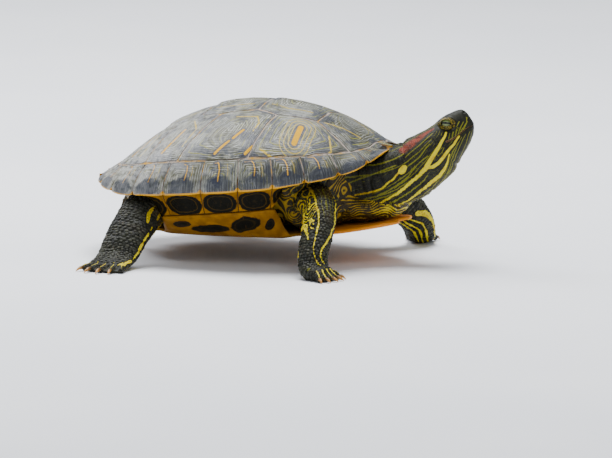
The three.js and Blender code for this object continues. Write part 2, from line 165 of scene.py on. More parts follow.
def cloudNoise(points, size, seed=0, octaves=1):
    total, strength, reach = 0, 1, 0
    for octave in range(octaves):
        q = points / size * 2 ** octave
        cell = np.floor(q).astype(np.int64)
        f = q - cell
        f = f * f * (3 - 2 * f)
        value = 0
        for corner in range(8):
            dx, dy, dz = corner & 1, corner >> 1 & 1, corner >> 2 & 1
            weight = (f[:, 0] if dx else 1 - f[:, 0]) * (f[:, 1] if dy else 1 - f[:, 1])
            weight = weight * (f[:, 2] if dz else 1 - f[:, 2])
            value = value + weight * hashed(cell[:, 0] + dx, cell[:, 1] + dy, cell[:, 2] + dz, seed + octave)
        total = total + value * strength
        reach += strength
        strength *= 0.5
    return total / reach


def toSegments(points, path):
    # distance from each 2D point to a path of 2D points, and how far along the path (0 to 1) it is
    points, path = np.asarray(points, float), np.asarray(path, float)
    best, where = np.full(len(points), 1e9), np.zeros(len(points))
    lengths = np.linalg.norm(np.diff(path, axis=0), axis=1)
    before = np.concatenate([[0], np.cumsum(lengths)])
    for i, (a, b) in enumerate(zip(path[:-1], path[1:])):
        d = b - a
        t = np.clip(((points - a) @ d) / max(d @ d, 1e-9), 0, 1)
        gap = np.linalg.norm(points - a - t[:, None] * d, axis=1)
        nearer = gap < best
        best[nearer] = gap[nearer]
        where[nearer] = ((before[i] + t * lengths[i]) / before[-1])[nearer]
    return best, where


def gridFaces(rows, columns, first=0):
    # quads between closed rings of points
    r, c = np.meshgrid(np.arange(rows - 1), np.arange(columns), indexing="ij")
    a = first + r * columns + c
    b = first + r * columns + (c + 1) % columns
    return np.stack([a, b, b + columns, a + columns], -1).reshape(-1, 4)


def fanFaces(centre, ringStart, columns, flip=False):
    c = np.arange(columns)
    a, b = ringStart + c, ringStart + (c + 1) % columns
    middle = np.full(columns, centre)
    return np.stack([middle, b, a] if flip else [middle, a, b], -1)


def addObject(name, data):
    thing = bpy.data.objects.new(name, data)
    bpy.context.scene.collection.objects.link(thing)
    return thing


def endFans(count, around):
    # closes rings of points at the first and the last of count points
    return np.vstack([fanFaces(0, 1, around, flip=True), fanFaces(count - 1, count - 1 - around, around)])


def makeObject(name, points, quads=(), triangles=()):
    # points in millimetres round the shell's middle
    mesh = bpy.data.meshes.new(name)
    corners = [np.asarray(f).reshape(-1) for f in (quads, triangles) if len(f)]
    sizes = [np.full(len(f), len(f[0])) for f in (quads, triangles) if len(f)]
    loops, sizes = np.concatenate(corners).astype(np.int32), np.concatenate(sizes)
    mesh.vertices.add(len(points))
    mesh.vertices.foreach_set("co", ((points + shellMiddle) / 1000).astype(np.float32).reshape(-1))
    mesh.loops.add(len(loops))
    mesh.loops.foreach_set("vertex_index", loops)
    mesh.polygons.add(len(sizes))
    mesh.polygons.foreach_set("loop_start", np.concatenate([[0], np.cumsum(sizes)[:-1]]).astype(np.int32))
    mesh.update(calc_edges=True)
    mesh.validate()
    mesh.shade_smooth()
    return addObject(name, mesh)


def pointsOf(piece):
    flat = np.zeros(len(piece.data.vertices) * 3, np.float32)
    piece.data.vertices.foreach_get("co", flat)
    return flat.reshape(-1, 3).astype(float) * 1000 - shellMiddle


def setPoints(piece, points):
    piece.data.vertices.foreach_set("co", ((points + shellMiddle) / 1000).astype(np.float32).reshape(-1))
    piece.data.update()


def normalsOf(piece):
    flat = np.zeros(len(piece.data.vertices) * 3, np.float32)
    piece.data.vertices.foreach_get("normal", flat)
    return flat.reshape(-1, 3).astype(float)


def treeOf(points):
    tree = KDTree(len(points))
    for i, place in enumerate(points.tolist()):
        tree.insert(place, i)
    tree.balance()
    return tree


def paint(piece, **values):
    # named numbers on every vertex, for the materials
    for name, value in values.items():
        layer = piece.data.attributes.new(name, "FLOAT", "POINT")
        layer.data.foreach_set("value", np.asarray(value, np.float32))


def applied(piece):
    graph = bpy.context.evaluated_depsgraph_get()
    mesh = bpy.data.meshes.new_from_object(piece.evaluated_get(graph))
    piece.modifiers.clear()
    old, piece.data = piece.data, mesh
    bpy.data.meshes.remove(old)
    return piece


# the shell's form
ridgeHeight = curveThrough([
    (-100, 48), (-92, 53.5), (-82, 60.8), (-69, 71.5), (-54, 82), (-40, 89.5), (-22, 96.5),
    (0, 101), (20, 101.7), (40, 99), (55, 94.5), (71, 87.3), (83, 80.5), (93, 76.3), (100, 75)])
rimHeight = curveThrough([
    (-100, 48), (-84, 45), (-66, 43.5), (-40, 46), (0, 50),
    (40, 54), (68, 58.5), (84, 62.5), (93, 67.5), (100, 75)])
bellyHeight = curveThrough([(-88, 17), (-40, 17.5), (0, 18), (53, 19.5), (72, 20.8), (88, 23), (106, 26)])
lobeWidth = curveThrough([
    (-82, 14), (-77, 27), (-66, 38), (-52, 44), (38, 46), (55, 42), (75, 35), (92, 26), (104, 17)])


def halfWidthAt(x):
    share = np.minimum(np.abs(x / shell["halfLength"]), 1) ** shell["roundness"]
    taper = 1 - shell["rearFlare"] * x / shell["halfLength"]
    return shell["halfWidth"] * (1 - share) ** (1 / shell["roundness"]) * taper


def outlinePoint(turn):
    c, s = np.cos(turn * 2 * np.pi), np.sin(turn * 2 * np.pi)
    x = shell["halfLength"] * np.sign(c) * np.abs(c) ** (2 / shell["roundness"])
    return x, np.sign(s) * halfWidthAt(x)


def domeHeight(x, y):
    reach = np.minimum(np.abs(y) / np.maximum(halfWidthAt(x), 0.01), 1)
    share = (1 - reach ** shell["archPower"]) ** shell["archDrop"]
    return mix(rimHeight(x), ridgeHeight(x), share)


def ringOf(x, y):
    # share of the shell's outline that a place in plan lies at
    side = shell["halfWidth"] * (1 - shell["rearFlare"] * x / shell["halfLength"])
    power = shell["roundness"]
    return ((np.abs(x) / shell["halfLength"]) ** power + (np.abs(y) / side) ** power) ** (1 / power)


def bridgeShare(x):
    front, rear, fade, overlap = (bridge[k] for k in ("front", "rear", "fade", "overlap"))
    return ramp(x, rear - fade, rear + overlap) * (1 - ramp(x, front - overlap, front + fade))


def lipHeight(x):
    return rimHeight(x / shell["lipRing"]) + 1 - (bridge["drop"] + 1) * bridgeShare(x)


def underside(x, y):
    return domeHeight(x * 1.04, y * 1.04) - shell["wall"]


def bellyOuter(x, y):
    edge = belly["bridgeRing"] * halfWidthAt(x / belly["bridgeRing"])
    climb = (np.abs(y) - bridge["root"]) / np.maximum(edge - bridge["root"], 1)
    share = np.clip(climb, 0, 1) ** 1.5
    return mix(bellyHeight(x), lipHeight(x) - belly["underRim"], share)


# where the plates meet, on the left side
seams = {
    "front": 88.1, "shoulder": 81, "hip": -74, "rear": -84.9,
    "front1": (54.5, 20), "side2": (28.8, 27), "front3": (14, 22), "side3": (-9.7, 28),
    "front4": (-25, 22), "side4": (-42, 25), "front5": (-58, 17),
    "costalFoot": (24.5, -24, -50),
    "marginal": (99.87, 93, 80, 62, 43, 21, -4, -31, -55, -75, -89, -97.2),
}


def seamRingAt(x):
    return shell["seamRing"] - shell["seamRingRear"] * max(0, -x / shell["halfLength"])


def seamPoint(x):
    ring = seamRingAt(x)
    return x, float(ring * halfWidthAt(x / ring))


marginalRing = [seams["front"]] + [x * seamRingAt(x) for x in seams["marginal"][1:]]


def seamRun(start, end, step=3):
    count = max(2, int(abs(start - end) / step) + 1)
    return [seamPoint(x) for x in np.linspace(start, end, count)]


def plateOutlines():
    front1, side2, front3, side3, front4, side4, front5 = (
        seams[k] for k in ("front1", "side2", "front3", "side3", "front4", "side4", "front5"))
    foot1, foot2, foot3 = seams["costalFoot"]

    def both(half):
        return half + [(x, -y) for x, y in reversed(half)]
    plates = [
        both([seamPoint(seams["front"]), (106, 5.7)]),
        both([front1] + seamRun(seams["shoulder"], seams["front"])),
        both([front3, side2, front1]),
        both([front4, side3, front3]),
        both([front5, side4, front4]),
        both([front5] + seamRun(seams["hip"], seams["rear"])),
        [front1] + seamRun(seams["shoulder"], foot1) + [side2],
        [side2] + seamRun(foot1, foot2) + [side3, front3],
        [side3] + seamRun(foot2, foot3) + [side4, front4],
        [side4] + seamRun(foot3, seams["hip"]) + [front5],
    ]
    rims = list(seams["marginal"]) + [-100]
    rings = marginalRing + [seams["rear"]]
    for i in range(12):
        outer = [(x * 1.06, float(halfWidthAt(x)) * 1.06) for x in np.linspace(rims[i + 1], rims[i], 6)]
        tail = [(seams["rear"], 0)] if i == 11 else []
        plates.append(seamRun(rings[i], rings[i + 1]) + tail + outer)
    return plates


def towardsNeighbours(points):
    # unit normals of a closed outline in plan, pointing in
    ahead, behind = np.roll(points, -1, 0), np.roll(points, 1, 0)
    along = ahead - behind
    normal = np.stack([-along[:, 1], along[:, 0]], -1)
    normal = unit(normal)
    middle = points.mean(0)
    return normal if np.sum(normal * (middle - points)) > 0 else -normal


def closedRun(corners, spacing):
    # evenly spaced points round a closed outline, with every corner kept
    out = []
    for a, b in zip(corners, corners[1:] + corners[:1]):
        a, b = np.array(a, float), np.array(b, float)
        count = max(1, int(round(np.linalg.norm(b - a) / spacing)))
        out += [a + (b - a) * i / count for i in range(count)]
    return np.array(out)


def domeAt(plan):
    x, y = plan[:, 0], plan[:, 1]
    far = np.maximum(ringOf(x, y), 1)
    return domeHeight(x / far, y / far)


def domeNormal(plan, step=0.15):
    ring = np.maximum(ringOf(plan[:, 0], plan[:, 1]) / 0.985, 1)[:, None]
    plan = plan / ring
    dx = (domeAt(plan + [step, 0]) - domeAt(plan - [step, 0])) / (2 * step)
    dy = (domeAt(plan + [0, step]) - domeAt(plan - [0, step])) / (2 * step)
    normal = np.stack([-dx, -dy, np.ones_like(dx)], -1)
    return unit(normal, 0)


# bars and lines on the plates, left side, in plan; each path has a half width
plateMarks = {
    "vertebral_1": {"core": [(66, 0), (74, 0)], "bars": [],
                    "lines": [([(58, 18), (70, 13), (80, 11)], 0.35)]},
    "vertebral_2": {"core": [(34, 0), (42, 0)], "bars": [], "lines": [([(20, 13), (32, 16), (48, 12)], 0.3)]},
    "vertebral_3": {"core": [(-6, 0), (2, 0)], "bars": [], "lines": [([(-18, 14), (-6, 17), (8, 13)], 0.3)]},
    "vertebral_4": {"core": [(-44, 0), (-36, 0)], "bars": [],
                    "lines": [([(-52, 12), (-40, 15), (-30, 12)], 0.3)]},
    "vertebral_5": {"core": [(-72, 0), (-66, 0)], "bars": [],
                    "lines": [([(-78, 14), (-68, 16), (-62, 9)], 0.35)]},
    "nuchal": {"core": [(92, 0), (95, 0)], "bars": [], "lines": [([(88, 0), (99, 0)], 0.4)]},
    "costal_1": {"core": [(49.6, 47), (48.4, 35)], "bars": [([(49.7, 49), (49.1, 42), (48.3, 34)], 1.75)],
                 "lines": [([(66, 30), (72, 41), (68, 50)], 0.45),
                           ([(31, 60), (41, 62.5), (56, 60.5)], 0.5)]},
    "costal_2": {"core": [(6, 56), (11, 44)], "bars": [([(1.8, 65.5), (8.1, 57.5)], 0.8),
                                                       ([(10.2, 55), (14.2, 48)], 0.9),
                                                       ([(22.2, 64), (25.6, 58.5)], 0.9)],
                 "lines": [([(4, 34), (18, 33), (22, 40), (21, 48)], 0.4)]},
    "costal_3": {"core": [(-33, 50), (-28, 40)], "bars": [([(-38, 58), (-33, 50), (-29, 41)], 0.85)],
                 "lines": [([(-26, 32), (-20, 44), (-24, 58)], 0.4)]},
    "costal_4": {"core": [(-60, 36), (-56, 30)], "bars": [([(-66, 40), (-60, 34), (-55, 26)], 0.8)],
                 "lines": [([(-50, 30), (-53, 41), (-57, 50)], 0.4)]},
}
# where the keel of a vertebral plate ends, how high it rises, how deep it steps down, half its width
keel = {"seams": (57, 17, -22, -56), "rise": 0.9, "drop": -0.55, "half": 4.6}
# growth wrinkles: how many, their height and how much it varies, the fine ones; soft swells; the seam's side
growth = {"count": 13, "height": 0.09, "varies": 0.06, "fine": 0.022, "swell": 0.45, "wave": 0.35,
          "side": 0.55, "slope": 0.3}


def keelRelief(plan):
    # the low keel rises along each vertebral plate and steps down at the seam behind it
    x, y = plan[:, 0], np.abs(plan[:, 1])
    total = np.zeros(len(plan))
    for seamX in keel["seams"]:
        along = x - seamX
        rise = ramp(along, 26, 1.5) * ramp(along, -0.5, 1.2)
        drop = bell(along, -3.5, 4) * keel["drop"]
        total += (rise * keel["rise"] + drop) * bell(y, 0, keel["half"])
    return total


def plateRelief(plan, ring, edge, seed):
    # growth wrinkles that follow the plate's edge, a soft swell, and the turned-down edge
    g = growth
    flat = np.column_stack([plan, np.zeros(len(plan))])
    sway = cloudNoise(flat, 9, seed, 2)
    wave = ring ** 1.15 * g["count"] + sway * 0.7
    cell = np.floor(wave).astype(np.int64)
    height = hashed(cell, 0 * cell, 0 * cell, seed + 5)
    f = wave - cell
    ridge = np.sin(np.pi * f) ** 0.6 * (g["height"] + g["varies"] * height)
    fine = np.sin(2 * np.pi * (wave * 3.1 + sway * 1.5)) * g["fine"]
    grooved = (ridge + fine) * ramp(ring, 0.06, 0.3) * (0.55 + 0.45 * cloudNoise(flat, 16, seed + 9))
    swell = g["swell"] * (1 - ring ** 3) + g["wave"] * cloudNoise(flat, 24, seed + 2)
    side = -shell["seamDepth"] * (1 - np.clip(edge / g["side"], 0, 1)) ** 2
    rim = side - g["slope"] * np.exp(-edge / 1.6)
    return grooved + swell * 0.6 + rim


# corner spacing, rings of mesh, how a seam strays (size of the bends, how far, seeds), the turned-down side
plateForm = {"spacing": 0.8, "ringPitch": 0.42, "rings": (24, 84), "crowding": 0.85,
             "wander": ((5, 0.45, 3, 4), (14, 0.35, 7, 8)), "side": 0.9, "foot": 0.35, "hollow": 1.6}


def buildPlate(node, outline, marks, mirrored, seed):
    p = plateForm
    corners = closedRun(list(outline), p["spacing"])
    # the shell's edge cuts the plates that reach it
    corners = corners / np.maximum(ringOf(corners[:, 0], corners[:, 1]), 1)[:, None]
    flat = np.column_stack([corners, np.zeros(len(corners))])
    shift = sum(np.column_stack([cloudNoise(flat, size, one), cloudNoise(flat, size, two)]) * far
                for size, far, one, two in p["wander"])
    onSeam = (np.abs(corners[:, 1]) > 0.5)[:, None]
    edge = corners + shift * onSeam
    edge = edge + towardsNeighbours(edge) * shell["seamWidth"] / 2
    for _ in range(2):
        edge = edge * 0.5 + (np.roll(edge, 1, 0) + np.roll(edge, -1, 0)) * 0.25
    core = np.array(marks["core"], float)
    centre = core.mean(0)
    around = len(edge)
    reach = np.linalg.norm(edge - centre, axis=1).mean()
    rings = int(np.clip(reach / p["ringPitch"], *p["rings"]))
    shares = np.linspace(0, 1, rings + 1)[1:] ** p["crowding"]
    plan = (centre + shares[:, None, None] * (edge - centre)[None]).reshape(-1, 2)
    plan = np.vstack([centre, plan])
    toEdge, _ = toSegments(plan, np.vstack([edge, edge[:1]]))
    toCore, _ = toSegments(plan, core)
    ring = toCore / (toCore + toEdge + 1e-6)
    relief = plateRelief(plan, ring, toEdge, seed)
    if node.startswith("vertebral"):
        relief = relief + keelRelief(plan)
    top = np.column_stack([plan, domeAt(plan)]) + domeNormal(plan) * relief[:, None]
    last = 1 + (rings - 1) * around
    down = domeNormal(plan[last:])
    wall = top[last:] - down * p["side"]
    inward = np.column_stack([centre - wall[:, :2], np.zeros(len(wall))]) * 0.02
    floor = wall - down * p["foot"] + inward
    innerPlan = centre + 0.5 * (edge - centre)
    inner = np.column_stack([innerPlan, domeAt(innerPlan) - p["hollow"]])
    bottom = np.array([[*centre, domeAt(centre[None])[0] - p["hollow"]]])
    points = np.vstack([top, wall, floor, inner, bottom])
    quads = np.vstack([gridFaces(rings, around, 1), gridFaces(4, around, last)])
    tris = endFans(len(points), around)
    extra = len(points) - len(top)
    values = {"ring": ring, "edge": toEdge, "bar": np.full(len(plan), 9.0), "line": np.full(len(plan), 9.0)}
    onMiddle = node[0] in "vn"      # the marks of a middle plate lie on both of its sides
    onBothSides = np.column_stack([plan[:, 0], np.abs(plan[:, 1])]) if onMiddle else plan
    for key in ("bar", "line"):
        for path, half in marks[key + "s"]:
            gap, _ = toSegments(onBothSides, path)
            values[key] = np.minimum(values[key], gap - half)
    if mirrored:
        points = points * [1, -1, 1]
    if (polygonArea(edge) > 0) != mirrored:
        quads, tris = quads[:, ::-1], tris[:, ::-1]
    piece = makeObject(node + "_plate", points, quads, tris)
    paint(piece, **{k: np.concatenate([v, np.full(extra, v[-1])]) for k, v in values.items()},
          plain=np.full(len(points), 0.1 if node in ("costal_left_1", "costal_right_1") else 0.45))
    return piece


def polygonArea(points):
    x, y = points[:, 0], points[:, 1]
    return 0.5 * np.sum(x * np.roll(y, -1) - y * np.roll(x, -1))


def turnAt(x):
    share = np.sign(x) * np.abs(np.clip(x, -100, 100) / 100) ** (shell["roundness"] / 2)
    return np.arccos(np.clip(share, -1, 1)) / (2 * np.pi)


# rows of mesh, the scalloped edge, the inner wall, the oldest spot, and the blotches below and above the rim
rimPlate = {"along": 64, "top": 30, "bottom": 26, "inside": 8, "scallop": 0.7, "wallRing": 0.85,
            "core": (0.62, 0.85), "spot": (0.45, 0.42), "patch": (0.42, 0.33),
            "second": [(0.3, 0.15), (0.26, 0.4), (0.29, 0.62)]}


def buildRimPlate(node, number, mirrored, seed):
    p = rimPlate
    rims, rings = list(seams["marginal"]) + [-100], marginalRing + [seams["rear"]]
    ends = []
    for i in (number, number + 1):
        outer = turnAt(rims[i])
        inner = 0.5 if i == 12 else turnAt(rings[i] / seamRingAt(rings[i]))
        ends.append((outer, inner))
    u = np.linspace(0, 1, p["along"] + 1)
    u = u - 0.35 * np.sin(2 * np.pi * u) / (2 * np.pi)  # closer rows near the seams
    outerTurn, innerTurn = mix(ends[0][0], ends[1][0], u), mix(ends[0][1], ends[1][1], u)
    top = 1 - (1 - np.linspace(0, 1, p["top"])) ** 2.1  # the dome falls steeply at the rim
    rows, kind = [], []
    edgeX, edgeY = outlinePoint(outerTurn)
    for s in top:
        turn = mix(innerTurn, outerTurn, s)
        x, y = outlinePoint(turn)
        seamShare = np.array([seamRingAt(v) for v in x * 0.89])
        ring = mix(seamShare, 1, s)
        rows.append(np.column_stack([x * ring, y * ring, domeHeight(x * ring, y * ring)]))
        kind.append(("top", s))
    under = np.linspace(0, 1, p["bottom"])[1:]
    lipX = edgeX * shell["lipRing"]
    for s in under:
        ring = mix(1, shell["lipRing"], s)
        z = mix(rimHeight(edgeX), lipHeight(lipX), s)
        z = z + 0.9 * np.sin(np.pi * s) * (1 - 0.5 * bridgeShare(lipX))
        rows.append(np.column_stack([edgeX * ring, edgeY * ring, z]))
        kind.append(("under", s))
    for s in np.linspace(0, 1, p["inside"])[1:]:
        ring = mix(shell["lipRing"], p["wallRing"], s)
        inX, inY = edgeX * p["wallRing"], edgeY * p["wallRing"]
        z = mix(lipHeight(lipX), underside(inX, inY), s)
        rows.append(np.column_stack([edgeX * ring, edgeY * ring, z]))
        kind.append(("inside", s))
    grid = np.stack(rows, 1)                      # along, round the section
    across = grid.shape[1]
    for _ in range(3):
        grid[:, 1:-1] = grid[:, 1:-1] * 0.5 + (grid[:, :-2] + grid[:, 2:]) * 0.25
    length = np.linalg.norm(np.diff(grid[:, p["top"] - 1], axis=0), axis=1)
    length = np.concatenate([[0], np.cumsum(length)])
    total = length[-1]
    fromEnd = np.minimum(length, total - length)
    normal = sectionNormals(grid)
    flat = grid.reshape(-1, 3)
    s = np.array([k[1] for k in kind])
    isTop = np.array([k[0] == "top" for k in kind])
    isUnder = np.array([k[0] != "top" for k in kind])
    steps = np.linalg.norm(np.diff(grid, axis=1), axis=2)
    # millimetres from the inner seam
    run = np.concatenate([np.zeros((len(grid), 1)), np.cumsum(steps, 1)], 1)
    topWidth = run[:, p["top"] - 1][:, None]
    toInner = np.where(isTop[None], run, 9)
    sideGap = np.broadcast_to(fromEnd[:, None], toInner.shape)
    toEdge = np.minimum(toInner, sideGap)
    coreU, coreS = p["core"][0] * total, p["core"][1]
    along = np.broadcast_to(length[:, None], toInner.shape)
    fromCore = np.maximum(np.abs(along - coreU) / total * 1.35, np.abs(run / topWidth - coreS))
    ring = np.clip(fromCore / (fromCore + toEdge / 9 + 1e-6), 0, 1)
    relief = plateRelief(flat[:, :2], ring.reshape(-1), toEdge.reshape(-1), seed).reshape(toInner.shape)
    relief = relief * np.where(isTop, 1, 0.25)[None]
    relief = relief - 0.5 * (1 - np.clip(sideGap / 0.6, 0, 1)) ** 2 - 0.25 * np.exp(-sideGap / 1.2)
    swell = np.sin(np.pi * np.clip(length / total, 0, 1))[:, None] ** 0.8
    nearRim = bell(np.arange(across), p["top"] - 1, 6)[None]
    relief = relief - p["scallop"] * (1 - swell) * nearRim
    grid = grid + normal * relief[..., None]
    # the rows at both ends stand back from the seam
    for side, row in ((1, 0), (-1, -1)):
        shift = unit(grid[row + side] - grid[row]) * shell["seamWidth"] / 2
        for k in range(3):
            grid[row + side * k] += shift * (1 - k / 3)
    rowsAlong = len(u)
    points = grid.reshape(-1, 3)
    quads = gridFaces(rowsAlong, across, 0)
    middle = grid.mean(1)
    points = np.vstack([points, middle[0], middle[-1]])
    tris = np.vstack([fanFaces(len(points) - 2, 0, across, flip=True),
                      fanFaces(len(points) - 1, (rowsAlong - 1) * across, across)])
    if mirrored:
        points = points * [1, -1, 1]
        quads, tris = quads[:, ::-1], tris[:, ::-1]

    def onGrid(value):
        return np.concatenate([np.broadcast_to(value, toInner.shape).reshape(-1), [0, 0]])
    hook = np.column_stack([along.reshape(-1) / total, (run / topWidth).reshape(-1)])
    scale = np.array([total, float(topWidth.mean())])
    lift, reach, fall = rng.uniform(-0.05, 0.05), rng.uniform(0.6, 0.86), rng.uniform(0.42, 0.68)
    path = np.array([(reach + lift, 0.11), (0.58, 0.1), (0.5 + lift, 0.16), (0.46 + lift, 0.34),
                     (0.48 + lift, fall)]) * scale
    lineGap, _ = toSegments(hook * scale, path)
    if number == 1:
        lineGap = lineGap + 9
    thinGap, _ = toSegments(hook * scale, np.array(p["second"]) * scale)
    underS = np.where(isUnder, s, 0)[None]
    lean = (underS - 0.5) * 0.1
    spotLong, spotWide = p["spot"]
    spot = (np.abs((along / total - 0.5 + lean) / spotLong) ** 2.5
            + np.abs((underS - 0.5) / spotWide) ** 2.5) ** 0.4
    patchLong, patchWide = p["patch"]
    patch = np.hypot((along / total - 0.5) / patchLong, (run / topWidth - 0.78) / patchWide)
    outside = run - topWidth
    barGap = lineGap - rng.uniform(0.12, 0.36)
    paintValues = {
        "ring": onGrid(ring), "edge": onGrid(toEdge), "bar": np.concatenate([barGap, [9, 9]]),
        "line": np.concatenate([thinGap - 0.12, [9, 9]]), "under": onGrid(outside), "spot": onGrid(spot),
        "patch": onGrid(patch),
        "plain": np.full(len(points), 0.5),
    }
    piece = makeObject(node + "_plate", points, quads, tris)
    paint(piece, **paintValues)
    return piece


def sectionNormals(grid):
    a = np.gradient(grid, axis=0)
    b = np.roll(grid, -1, 1) - np.roll(grid, 1, 1)
    normal = unit(np.cross(a, b))
    outward = np.sum(normal * (grid - grid.mean(1, keepdims=True))) > 0
    return normal if outward else -normal


def buildShell():
    plates = plateOutlines()
    names = ["nuchal"] + [f"vertebral_{i}" for i in range(1, 6)]
    made = {}
    for i, name in enumerate(names):
        made[name] = buildPlate(name, plates[i], plateMarks[name], False, 11 + i)
    for i in range(4):
        for mirrored, side in ((False, "left"), (True, "right")):
            name = f"costal_{side}_{i + 1}"
            made[name] = buildPlate(name, plates[6 + i], plateMarks[f"costal_{i + 1}"], mirrored,
                                    31 + i + 7 * mirrored)
    for i in range(12):
        for mirrored, side in ((False, "left"), (True, "right")):
            name = f"marginal_{side}_{i + 1}"
            made[name] = buildRimPlate(name, i, mirrored, 61 + i + 20 * mirrored)
    return made


lining = {"across": 60, "around": 240, "depth": 0.62, "reach": 0.985}


def buildSeamLining():
    # what shows down between the plates, a little under their faces
    across, around, depth = lining["across"], lining["around"], lining["depth"]
    turns = np.arange(around) / around
    ex, ey = outlinePoint(turns)
    rows = []
    for ring in np.linspace(0.02, lining["reach"], across):
        x, y = ex * ring, ey * ring
        plan = np.column_stack([x, y])
        rows.append(np.column_stack([plan, domeHeight(x, y)]) - domeNormal(plan) * depth)
    for ring in (0.975, 0.94, 0.91, 0.895):
        x, y = ex * ring, ey * ring
        z = mix(rimHeight(ex), lipHeight(ex * shell["lipRing"]), (1 - ring) / (1 - shell["lipRing"]))
        rows.append(np.column_stack([x, y, np.minimum(z + 1.6, domeHeight(x, y) - 1.4)]))
    for ring in (0.86, 0.5, 0.02):
        x, y = ex * ring, ey * ring
        rows.append(np.column_stack([x, y, underside(x, y) + 0.6]))
    points = np.vstack(rows)
    count = len(rows)
    ends = np.array([[0, 0, ridgeHeight(0.0) - depth], [0, 0, underside(0.0, 0.0) + 0.6]])
    points = np.vstack([points, ends])
    tris = np.vstack([fanFaces(len(points) - 2, 0, around),
                      fanFaces(len(points) - 1, (count - 1) * around, around, flip=True)])
    piece = makeObject("seam_lining", points, gridFaces(count, around)[:, ::-1], tris)
    low = np.repeat((np.arange(count) >= across - 1).astype(float), around)
    paint(piece, low=np.concatenate([low, [0, 1]]))
    return piece


bellyHalf = [
    (101, 0), (106, 8), (105, 16), (98, 22), (88, 28.5), (75, 35), (62, 39.5),
    (53, 42.5), (48, 46), (44.5, 51), (42, 58)]
bellyBridge = (39, 27, 9, -12, -27, -34)
bellyRear = [(-37, 58), (-39, 51), (-43, 46), (-54, 44), (-64, 39.5), (-73, 31), (-80, 19), (-82, 9),
             (-76, 0)]
bellySeams = [
    [(110, 0), (-80, 0)], [(82, 0), (88, 12), (99, 23)], [(57, 0), (59, 20), (64, 42)],
    [(24, 0), (25, 30), (21, 58), (21, 80)], [(-21, 0), (-20, 25), (-30, 44), (-41, 52)],
    [(-53, 0), (-56, 18), (-66, 42)], [(46, 47), (20, 50.5), (-10, 50.5), (-38, 47)]]
# dark blotches: middle x, y, half length, half width, turn
bellySpots = [
    (20.5, 60, 10.5, 4.6, 0.1), (-4, 58.5, 14, 4.2, 0.05), (-22, 63, 6, 3, 0), (36, 57, 4, 2.4, 0.4),
    (92, 11, 6, 4, 0.4), (70, 18, 9, 7, 0.3), (42, 20, 9, 8, 0), (2, 21, 11, 9, 0), (-37, 20, 9, 9, 0),
    (-65, 14, 6, 6, 0)]


def seamGap(x, y, paths):
    gap = np.full(len(x), 1e9)
    here = np.column_stack([x, np.abs(y)])
    for path in paths:
        gap = np.minimum(gap, toSegments(here, path)[0])
    return gap


def closedSpline(points, each):
    points = np.asarray(points, float)
    a, b, c, d = (np.roll(points, k, 0) for k in (1, 0, -1, -2))
    out = []
    for i in range(len(points)):
        for t in np.arange(each) / each:
            out.append(0.5 * ((2 * b[i]) + (c[i] - a[i]) * t + (2 * a[i] - 5 * b[i] + 4 * c[i] - d[i]) * t * t
                              + (3 * b[i] - a[i] - 3 * c[i] + d[i]) * t ** 3))
    return np.array(out)


def buildBelly():
    # the lower shell and its two bridges in one sheet
    rim = [(x, float(belly["bridgeRing"] * halfWidthAt(x / belly["bridgeRing"]))) for x in bellyBridge]
    half = bellyHalf + rim + bellyRear
    whole = half + [(x, -y) for x, y in reversed(half[1:-1])]
    edge = closedSpline(whole, 12)
    around, rings = len(edge), belly["across"]
    shares = np.linspace(0, 1, rings + 1)[1:]
    plan = np.vstack([[0, 0], (shares[:, None, None] * edge[None]).reshape(-1, 2)])
    x, y = plan[:, 0], plan[:, 1]
    ring = np.concatenate([[0], np.repeat(shares, around)])
    flat = np.column_stack([plan, 0 * x])
    wobble = np.column_stack([cloudNoise(flat, 7, 41, 2), cloudNoise(flat, 7, 42, 2)]) * belly["wander"]
    gap = seamGap(x + wobble[:, 0], y + wobble[:, 1] * ramp(np.abs(y), 0, 3), bellySeams)
    spot = np.full(len(x), 9.0)
    for sx, sy, length, width, turn in bellySpots:
        dx, dy = x + wobble[:, 0] * 1.6 - sx, np.abs(y) + wobble[:, 1] * 1.6 - sy
        c, s = math.cos(turn), math.sin(turn)
        spot = np.minimum(spot, np.hypot((dx * c + dy * s) / length, (dy * c - dx * s) / width))
    lift = belly["edgeLift"] * (1 - bridgeShare(x)) * ring ** 8
    swell = belly["swell"] * cloudNoise(flat, 26, 43, 2) * ramp(ring, 1, 0.9)
    grooves = belly["groove"] * np.sin(gap * 2.6 + cloudNoise(flat, 10, 44) * 3)
    grooves = grooves * ramp(gap, 0.5, 3) * ramp(gap, 16, 5)
    depth = belly["seam"] * bell(gap, 0, 0.45) - swell - grooves
    outer = np.column_stack([plan, bellyOuter(x, y) + lift + depth])
    last = 1 + (rings - 1) * around
    rows = [outer]
    for share, up in ((1.0, 0.8), (0.999, 1.6), (0.97, 2.6), (0.82, 3.4), (0.55, 4.4), (0.02, 4.9)):
        px, py = edge[:, 0] * share, edge[:, 1] * share
        lift = belly["edgeLift"] * (1 - bridgeShare(px)) * share ** 8
        rows.append(np.column_stack([px, py, bellyOuter(px, py) + lift + up]))
    points = np.vstack(rows)
    quads = np.vstack([gridFaces(rings, around, 1), gridFaces(7, around, last)])
    points = np.vstack([points, [0, 0, bellyOuter(0.0, 0.0) + 4.9]])
    tris = endFans(len(points), around)
    piece = makeObject("belly_plate", points, quads, tris)
    extra = len(points) - len(plan)

    def tailed(value, fill):
        return np.concatenate([value, np.full(extra, fill)])
    # front: how far the plastron's front is painted lighter orange, painted light reflected up from below
    paint(piece, gap=tailed(gap, 9), spot=tailed(spot, 9), front=ramp(points[:, 0], 48, 76))
    return piece


# flesh: stations run from the body outwards, each with x, y, z, width, half thickness above and below,
# and the way the width lies
def station(x, y, z, width, top, bottom=None, across=(1, 0, 0)):
    return (x, y, z, width, top, top if bottom is None else bottom) + tuple(across)


